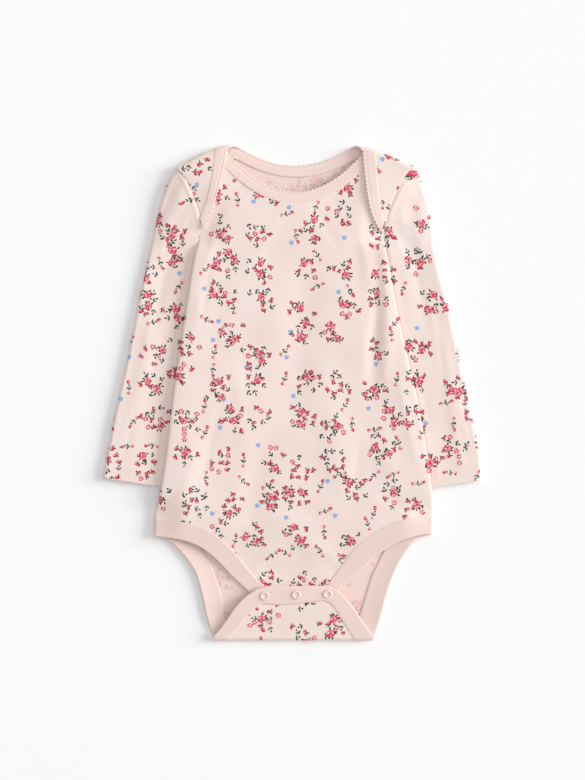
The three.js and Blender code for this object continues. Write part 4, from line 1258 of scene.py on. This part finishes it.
def both(graph, *shares):
    result = shares[0]
    for share in shares[1:]:
        result = graph.math("MULTIPLY", result, share)
    return result


def motif(graph, local, ovals, shown, colour):
    """Paints a motif's ovals over a colour where it is shown."""
    x, y, _ = graph.split(local)
    side_x = graph.math("ABSOLUTE", x)
    for centre_x, centre_y, along, across, angle, paint, repeated in ovals:
        reach = oval(graph, side_x if repeated else x, y, (centre_x, centre_y), (along, across), angle)
        colour = graph.blend(both(graph, inside(graph, reach, 1.0, 0.22), shown), colour, paint)
    return colour


def scattered(graph, place, pitch, randomness, shift):
    """The nearest point of an uneven lattice: its random numbers, its place, and the way from it,
    as it is and turned at random.
    """
    _, pick, middle = graph.cells(graph.vector("ADD", place, shift), pitch, randomness)
    middle = graph.vector("SUBTRACT", middle, shift)
    local = graph.vector("SUBTRACT", place, middle)
    return pick, middle, local, graph.turned(local, graph.math("MULTIPLY", pick[1], FULL_TURN))


def flower_print(graph, place, ground):
    """A scattered print of small rose clusters, sprigs and hearts over a ground colour."""
    from_cluster = lambda at: graph.cells(at, CLUSTER_PITCH, 0.58)[0]
    place = graph.vector("ADD", place, PRINT_SHIFT)
    wander = graph.wander(place, 0.5, 0.8)
    drawn = lambda local: graph.vector("ADD", local, wander)
    above = lambda value, edge: graph.math("GREATER_THAN", value, edge)
    below = lambda value, edge: graph.math("LESS_THAN", value, edge)
    colour = ground

    pick, middle, local, _ = scattered(graph, place, HEART_PITCH, 0.92, (13.0, 7.0, 0.0))
    shown = both(graph, above(from_cluster(middle), 11.5), below(pick[0], 0.64))
    local = graph.turned(local, graph.math("MULTIPLY_ADD", pick[1], 1.2, -0.6))
    x, y, _ = graph.split(graph.vector("SCALE", local, scale=1 / 1.75))
    squares = graph.math("MULTIPLY_ADD", x, x, graph.math("MULTIPLY", y, y))
    lobe = graph.math("SUBTRACT", squares, 1.0)
    cubed = both(graph, lobe, lobe, lobe)
    heart = graph.math("SUBTRACT", cubed, both(graph, x, x, y, y, y))
    colour = graph.blend(both(graph, inside(graph, heart, 0.0, 0.12), shown), colour, HEART)

    pick, middle, _, local = scattered(graph, place, SPRIG_PITCH, 0.7, (5.0, 21.0, 0.0))
    shown = both(graph, above(from_cluster(middle), 14.0), below(pick[0], 0.8))
    colour = motif(graph, drawn(local), SPRIG, shown, colour)

    pick, middle, _, local = scattered(graph, place, BUD_PITCH, 0.82, (0.0, 0.0, 0.0))
    reach = graph.math("MULTIPLY_ADD", pick[0], 6.5, 8.2)
    near = both(graph, below(from_cluster(middle), reach), below(pick[0], 0.84))
    leafy, open_wide = below(pick[2], 0.42), above(pick[2], 0.87)
    budded = graph.math("SUBTRACT", graph.math("SUBTRACT", 1.0, leafy), open_wide)
    for ovals, kind in ((SPRAY, leafy), (BUD, budded), (OPEN_FLOWER, open_wide)):
        colour = motif(graph, drawn(local), ovals, both(graph, near, kind), colour)

    pick, middle, _, local = scattered(graph, place, ROSE_PITCH, 0.66, (3.0, 3.0, 0.0))
    reach = graph.math("MULTIPLY_ADD", pick[2], 5.0, 5.0)
    shown = both(graph, below(from_cluster(middle), reach), below(pick[0], 0.94))
    size = graph.math("MULTIPLY_ADD", pick[2], 0.2, 0.88)
    local = graph.vector("MULTIPLY", drawn(local), graph.join(size, size, 1.0))
    return motif(graph, local, ROSE, shown, colour)


def knit_bump(graph, place):
    """The fine face of a jersey: rows of small loops, nearly lost in the fuzz."""
    x, y, _ = graph.split(place)
    wale = graph.math("SINE", graph.math("MULTIPLY", x, FULL_TURN / KNIT_PITCH))
    course = graph.math("SINE", graph.math("MULTIPLY", y, FULL_TURN / (KNIT_PITCH * 0.8)))
    loops = graph.math("MULTIPLY", wale, course)
    fuzz = graph.math("MULTIPLY", graph.noise(place, 1.3, 3.0), 1.6)
    return graph.bump(graph.math("MULTIPLY_ADD", loops, 0.3, fuzz), 0.04 * MM, 0.5)


def cloth_finish(graph, colour, normal):
    shader = graph.shader
    graph.put(shader.inputs["Base Color"], colour)
    graph.put(shader.inputs["Normal"], normal)
    shader.inputs["Roughness"].default_value = 0.88
    shader.inputs["Specular IOR Level"].default_value = 0.25
    shader.inputs["Sheen Weight"].default_value = 0.25
    shader.inputs["Sheen Roughness"].default_value = 0.5
    return graph.material


def uneven(graph, place, colour, other):
    """A colour that drifts a little towards another over the cloth."""
    return graph.blend(graph.spread(graph.noise(place, 0.035, 2.0), 0.3, 0.7), colour, other)


def printed_cloth():
    graph = Graph("printed_jersey")
    place = graph.pattern()
    ground = uneven(graph, place, GROUND, rgb(241, 224, 217))
    return cloth_finish(graph, flower_print(graph, place, ground), knit_bump(graph, place))


def inside_cloth():
    graph = Graph("printed_jersey_inside")
    place = graph.pattern()
    ground = uneven(graph, place, rgb(243, 219, 211), rgb(240, 214, 207))
    faded = graph.blend(0.24, ground, flower_print(graph, place, ground))
    return cloth_finish(graph, faded, knit_bump(graph, place))


def binding_cloth(name, strength, ground):
    """A fine rib, as plain to see as its strength, which also sets how much painted shadow darkens its
    grooves.
    """
    graph = Graph(name)
    place = graph.pattern()
    x, y, _ = graph.split(place)
    rib = graph.math("SINE", graph.math("MULTIPLY", x, FULL_TURN / RIB_PITCH))
    # painted shadow: the colour is darker in the grooves between the ribs, where their shadow would fall
    painted_rib_shade = graph.blend(graph.spread(rib, -1.0, 0.2), rgb(237, 210, 202), ground)
    colour = graph.blend(0.4 * strength, uneven(graph, place, ground, rgb(241, 216, 208)), painted_rib_shade)
    fuzz = graph.noise(place, 1.1, 3.0)
    height = graph.math("MULTIPLY_ADD", rib, strength, graph.math("MULTIPLY", fuzz, 1.2))
    return cloth_finish(graph, colour, graph.bump(height, 0.05 * MM, 0.6))


def thread():
    graph = Graph("sewing_thread")
    twist = graph.noise(graph.object_place(), 2500.0, 1.0)
    colour = graph.blend(twist, rgb(204, 160, 151), rgb(222, 182, 173))
    return cloth_finish(graph, colour, graph.bump(twist, 0.03 * MM, 0.5))


def enamel():
    graph = Graph("snap_enamel")
    speckle = graph.noise(graph.object_place(), 900.0, 2.0)
    colour = graph.blend(graph.spread(speckle, 0.35, 0.65), rgb(241, 209, 202), rgb(243, 214, 207))
    graph.put(graph.shader.inputs["Base Color"], colour)
    graph.put(graph.shader.inputs["Normal"], graph.bump(speckle, 0.02 * MM, 0.4))
    graph.shader.inputs["Roughness"].default_value = 0.42
    return graph.material


printed, inner_face = printed_cloth(), inside_cloth()
rib = binding_cloth("rib_binding", 1.0, RIB_COLOUR)
plain_rib = binding_cloth("plain_binding", 0.25, PLAIN_RIB_COLOUR)
threads, snap_enamel = thread(), enamel()


# The pieces


def place_piece(obj, slot, *nodes):
    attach(obj, "root")
    if nodes:
        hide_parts(*nodes)
    return obj


def cloth_piece(name, sheet, outer, inner, slot, up=True):
    """Builds a cloth piece over the node of the same name, hides that node and keeps the piece's flat area.
    """
    obj = place_piece(sheet.build(name + "_cloth", outer, inner, up), slot, name)
    return obj


def printed_piece(name, sheet, up=True):
    cloth_piece(name, sheet, printed, inner_face, "printed_jersey", up)


def binding_piece(name, sheet, material):
    cloth_piece(name, sheet, material, None, "rib_binding")


printed_piece("back_panel", back_panel(), up=False)
printed_piece("front_panel", front_panel())
for side in ("left", "right"):
    printed_piece("sleeve_" + side, sleeve(side), up=side == "right")
    binding_piece("leg_binding_" + side, leg_binding(side), plain_rib)
binding_piece("neck_binding_front", front_neck_binding(), rib)
binding_piece("neck_binding_back", back_neck_binding(), rib)
front_tape, flap_tape = tape(FRONT_TAPE, level(CROTCH_LEVEL)), tape(FLAP_TAPE, flap_height)
binding_piece("crotch_tape_front", front_tape, plain_rib)
binding_piece("crotch_tape_flap", flap_tape, plain_rib)


# Snaps


def lathe(name, profile, centre, base, sides=48):
    """A closed turned solid from (radius, height) pairs that start and end on the axis."""
    angles = np.linspace(0, FULL_TURN, sides, endpoint=False)
    verts, faces = [], []
    rings = []
    for radius, height in profile:
        if radius == 0:
            verts.append((centre[0], centre[1], base + height))
            rings.append([len(verts) - 1] * sides)
        else:
            rings.append(list(range(len(verts), len(verts) + sides)))
            for angle in angles:
                x, y = centre[0] + radius * math.cos(angle), centre[1] + radius * math.sin(angle)
                verts.append((x, y, base + height))
    for low, high in zip(rings, rings[1:]):
        for i in range(sides):
            j = (i + 1) % sides
            face = []
            for v in (low[i], low[j], high[j], high[i]):
                if v not in face:
                    face.append(v)
            faces.append(face)
    return add_object(name, smooth_mesh(name, verts, faces, snap_enamel))


# radius, height up the outside, over the rolled rim and down into the dish
CAP_PROFILE = [
    (0, 0), (3.45, 0), (3.66, 0.12), (3.7, 0.35), (3.6, 0.62), (3.35, 0.86), (3.0, 1.02), (2.7, 1.06),
    (2.4, 0.98), (2.15, 0.78), (2.0, 0.56), (1.8, 0.46), (1.2, 0.44), (0.6, 0.46), (0, 0.47),
]
for i, centre in enumerate(SNAPS, 1):
    cap = lathe(f"snap_cap_{i}_enamel", CAP_PROFILE, centre, FLAP_LEVEL + RIB / 2 - 0.02)
    place_piece(cap, "snap", f"snap_cap_{i}")
for i in range(1, 4):
    for kind in ("socket", "stud"):
        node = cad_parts[f"snap_{kind}_{i}"]
        node.data.materials.clear()
        node.data.materials.append(snap_enamel)


# Sewing


# share of the length from the middle, share of the width, share of the rise
STITCH_SECTIONS = [
    (-0.5, 0.35, -0.06),
    (-0.3, 0.9, 0.5),
    (0.0, 1.0, 1.0),
    (0.3, 0.9, 0.5),
    (0.5, 0.35, -0.06),
]
STITCH_LENGTH = 1.5
# width, rise
HEM_STITCH = (0.34, 0.12)
SEAM_STITCH = (0.62, 0.2)
EDGE_STITCH = (0.4, 0.12)
FLAP_STITCH = (0.55, 0.18)


def stitch_line(points, width, rise):
    """Small humped stitches along a line of points on the upper face, as vertices and faces."""
    points = np.array(points, float)
    up = np.array([0.0, 0.0, 1.0])
    along = np.concatenate([[0], np.cumsum(np.linalg.norm(np.diff(points, axis=0), axis=1))])
    verts, faces = [], []
    for middle in np.arange(STITCH_PITCH / 2, along[-1], STITCH_PITCH):
        spot = np.array([np.interp(middle, along, points[:, k]) for k in range(3)])
        ahead = np.array([np.interp(middle + 0.3, along, points[:, k]) for k in range(3)])
        forward = ahead - spot
        length = np.linalg.norm(forward)
        if length < 1e-6:
            continue
        forward /= length
        across = np.cross(up, forward)
        start = len(verts)
        for share, wide, high in STITCH_SECTIONS:
            centre = spot + forward * STITCH_LENGTH * share
            foot, side_step = centre - up * 0.1, across * width / 2 * wide
            verts += [foot - side_step, centre + up * (rise * high), foot + side_step]
        for k in range(4):
            a = start + 3 * k
            faces += [(a, a + 3, a + 4, a + 1), (a + 1, a + 4, a + 5, a + 2), (a + 2, a + 5, a + 3, a)]
        faces += [(start, start + 1, start + 2), (start + 12, start + 14, start + 13)]
    return verts, faces


def stitches(name, lines, slot):
    verts, faces = [], []
    for points, size in lines:
        more, ends = stitch_line(points, *size)
        faces += [tuple(i + len(verts) for i in face) for face in ends]
        verts += more
    return place_piece(add_object(name, smooth_mesh(name, verts, faces, threads)), slot)


def table_line(table, share, height, above, span=None):
    """A line along a binding at a share of the way from its free edge to its seam, lying above its wall."""
    first, last = span or (0, len(table) - 1)
    along = trail(table)
    points = []
    for number in np.linspace(first, last, 90):
        free_x, free_y, seam_x, seam_y = along(number)
        x, y = mix(free_x, seam_x, share), mix(free_y, seam_y, share)
        points.append((x, y, float(np.asarray(height(x, y))) + above))
    return points


rib_top = RIB / 2 + 0.02
for side in ("left", "right"):
    back, span = LEG_BINDINGS[side]["back"], (0.4, 8.8)
    seam_line = table_line(back, 0.96, level(RIB / 2), rib_top - 0.1, span)
    edge_line = table_line(back, 0.7, level(RIB / 2), rib_top, span)
    stitches(f"leg_stitches_{side}", [(seam_line, SEAM_STITCH), (edge_line, EDGE_STITCH)], "rib_binding")


def hem_line(side, up_from_cuff):
    """A line across the top of a sleeve at a distance from its cuff."""
    number = len(SLEEVES[side]) - 1 - up_from_cuff / CUFF_ROW
    outer_x, outer_y, inner_x, inner_y = (float(n) for n in trail(SLEEVES[side])(number))
    share = np.linspace(0.06, 0.94, 60)
    x, y = mix(outer_x, inner_x, share), mix(outer_y, inner_y, share)
    length = math.hypot(inner_x - outer_x, inner_y - outer_y)
    z = sleeve_top(x, y, share * length) + HEM_RISE / 2 + CLOTH / 2
    return np.stack([x, y, z], axis=1)


for side in ("left", "right"):
    lines = [(hem_line(side, up), HEM_STITCH) for up in (HEM_HEIGHT, HEM_HEIGHT - 3.2)]
    stitches(f"sleeve_hem_stitches_{side}", lines, "printed_jersey")

flap_line = table_line(FLAP_TAPE, 0.95, flap_height, rib_top - 0.08, (0.1, 5.9))
stitches("flap_stitches", [(flap_line, FLAP_STITCH)], "rib_binding")


# The room: a pale floor, a soft key light from the right and a camera straight above


def floor():
    mesh = bpy.data.meshes.new("floor")
    size, z = 4.0, -0.3 * MM
    corners = [(-size, -size, z), (size, -size, z), (size, size, z), (-size, size, z)]
    mesh.from_pydata(corners, [], [(0, 1, 2, 3)])
    graph = Graph("pale_floor")
    grain = graph.noise(graph.object_place(), 60.0, 3.0)
    colour = graph.blend(grain, rgb(250, 250, 250), rgb(252, 252, 252))
    graph.put(graph.shader.inputs["Base Color"], colour)
    graph.shader.inputs["Roughness"].default_value = 0.9
    mesh.materials.append(graph.material)
    obj = add_object("floor", mesh)


def faced(direction):
    """The turn of a lamp that stands in a direction from what it lights."""
    return Vector(direction).to_track_quat("Z", "Y").to_euler()


floor()
sun = bpy.data.lights.new("key", "SUN")
sun.energy = 2.9
sun.angle = math.radians(30)
key = add_object("key", sun)
key.rotation_euler = faced((0.9, 0.2, 0.365))
panel = bpy.data.lights.new("fill", "AREA")
panel.shape = "RECTANGLE"
panel.size, panel.size_y = 2.0, 2.0
panel.energy = 10
fill = add_object("fill", panel)
fill.location = (0.2, 0.3, 2.2)
fill.rotation_euler = faced(fill.location)
world = bpy.data.worlds.new("studio")
world.use_nodes = True
world.node_tree.nodes["Background"].inputs["Color"].default_value = (1, 1, 1, 1)
world.node_tree.nodes["Background"].inputs["Strength"].default_value = 0.5
bpy.context.scene.world = world
bpy.context.scene.view_settings.view_transform = "Standard"

lens = bpy.data.cameras.new("camera")
lens.lens = 90.0
lens.sensor_width = 36.0
camera = add_object("camera", lens)
camera.location = (0.4 * MM, 2.5 * MM, 1.6)
bpy.context.scene.camera = camera
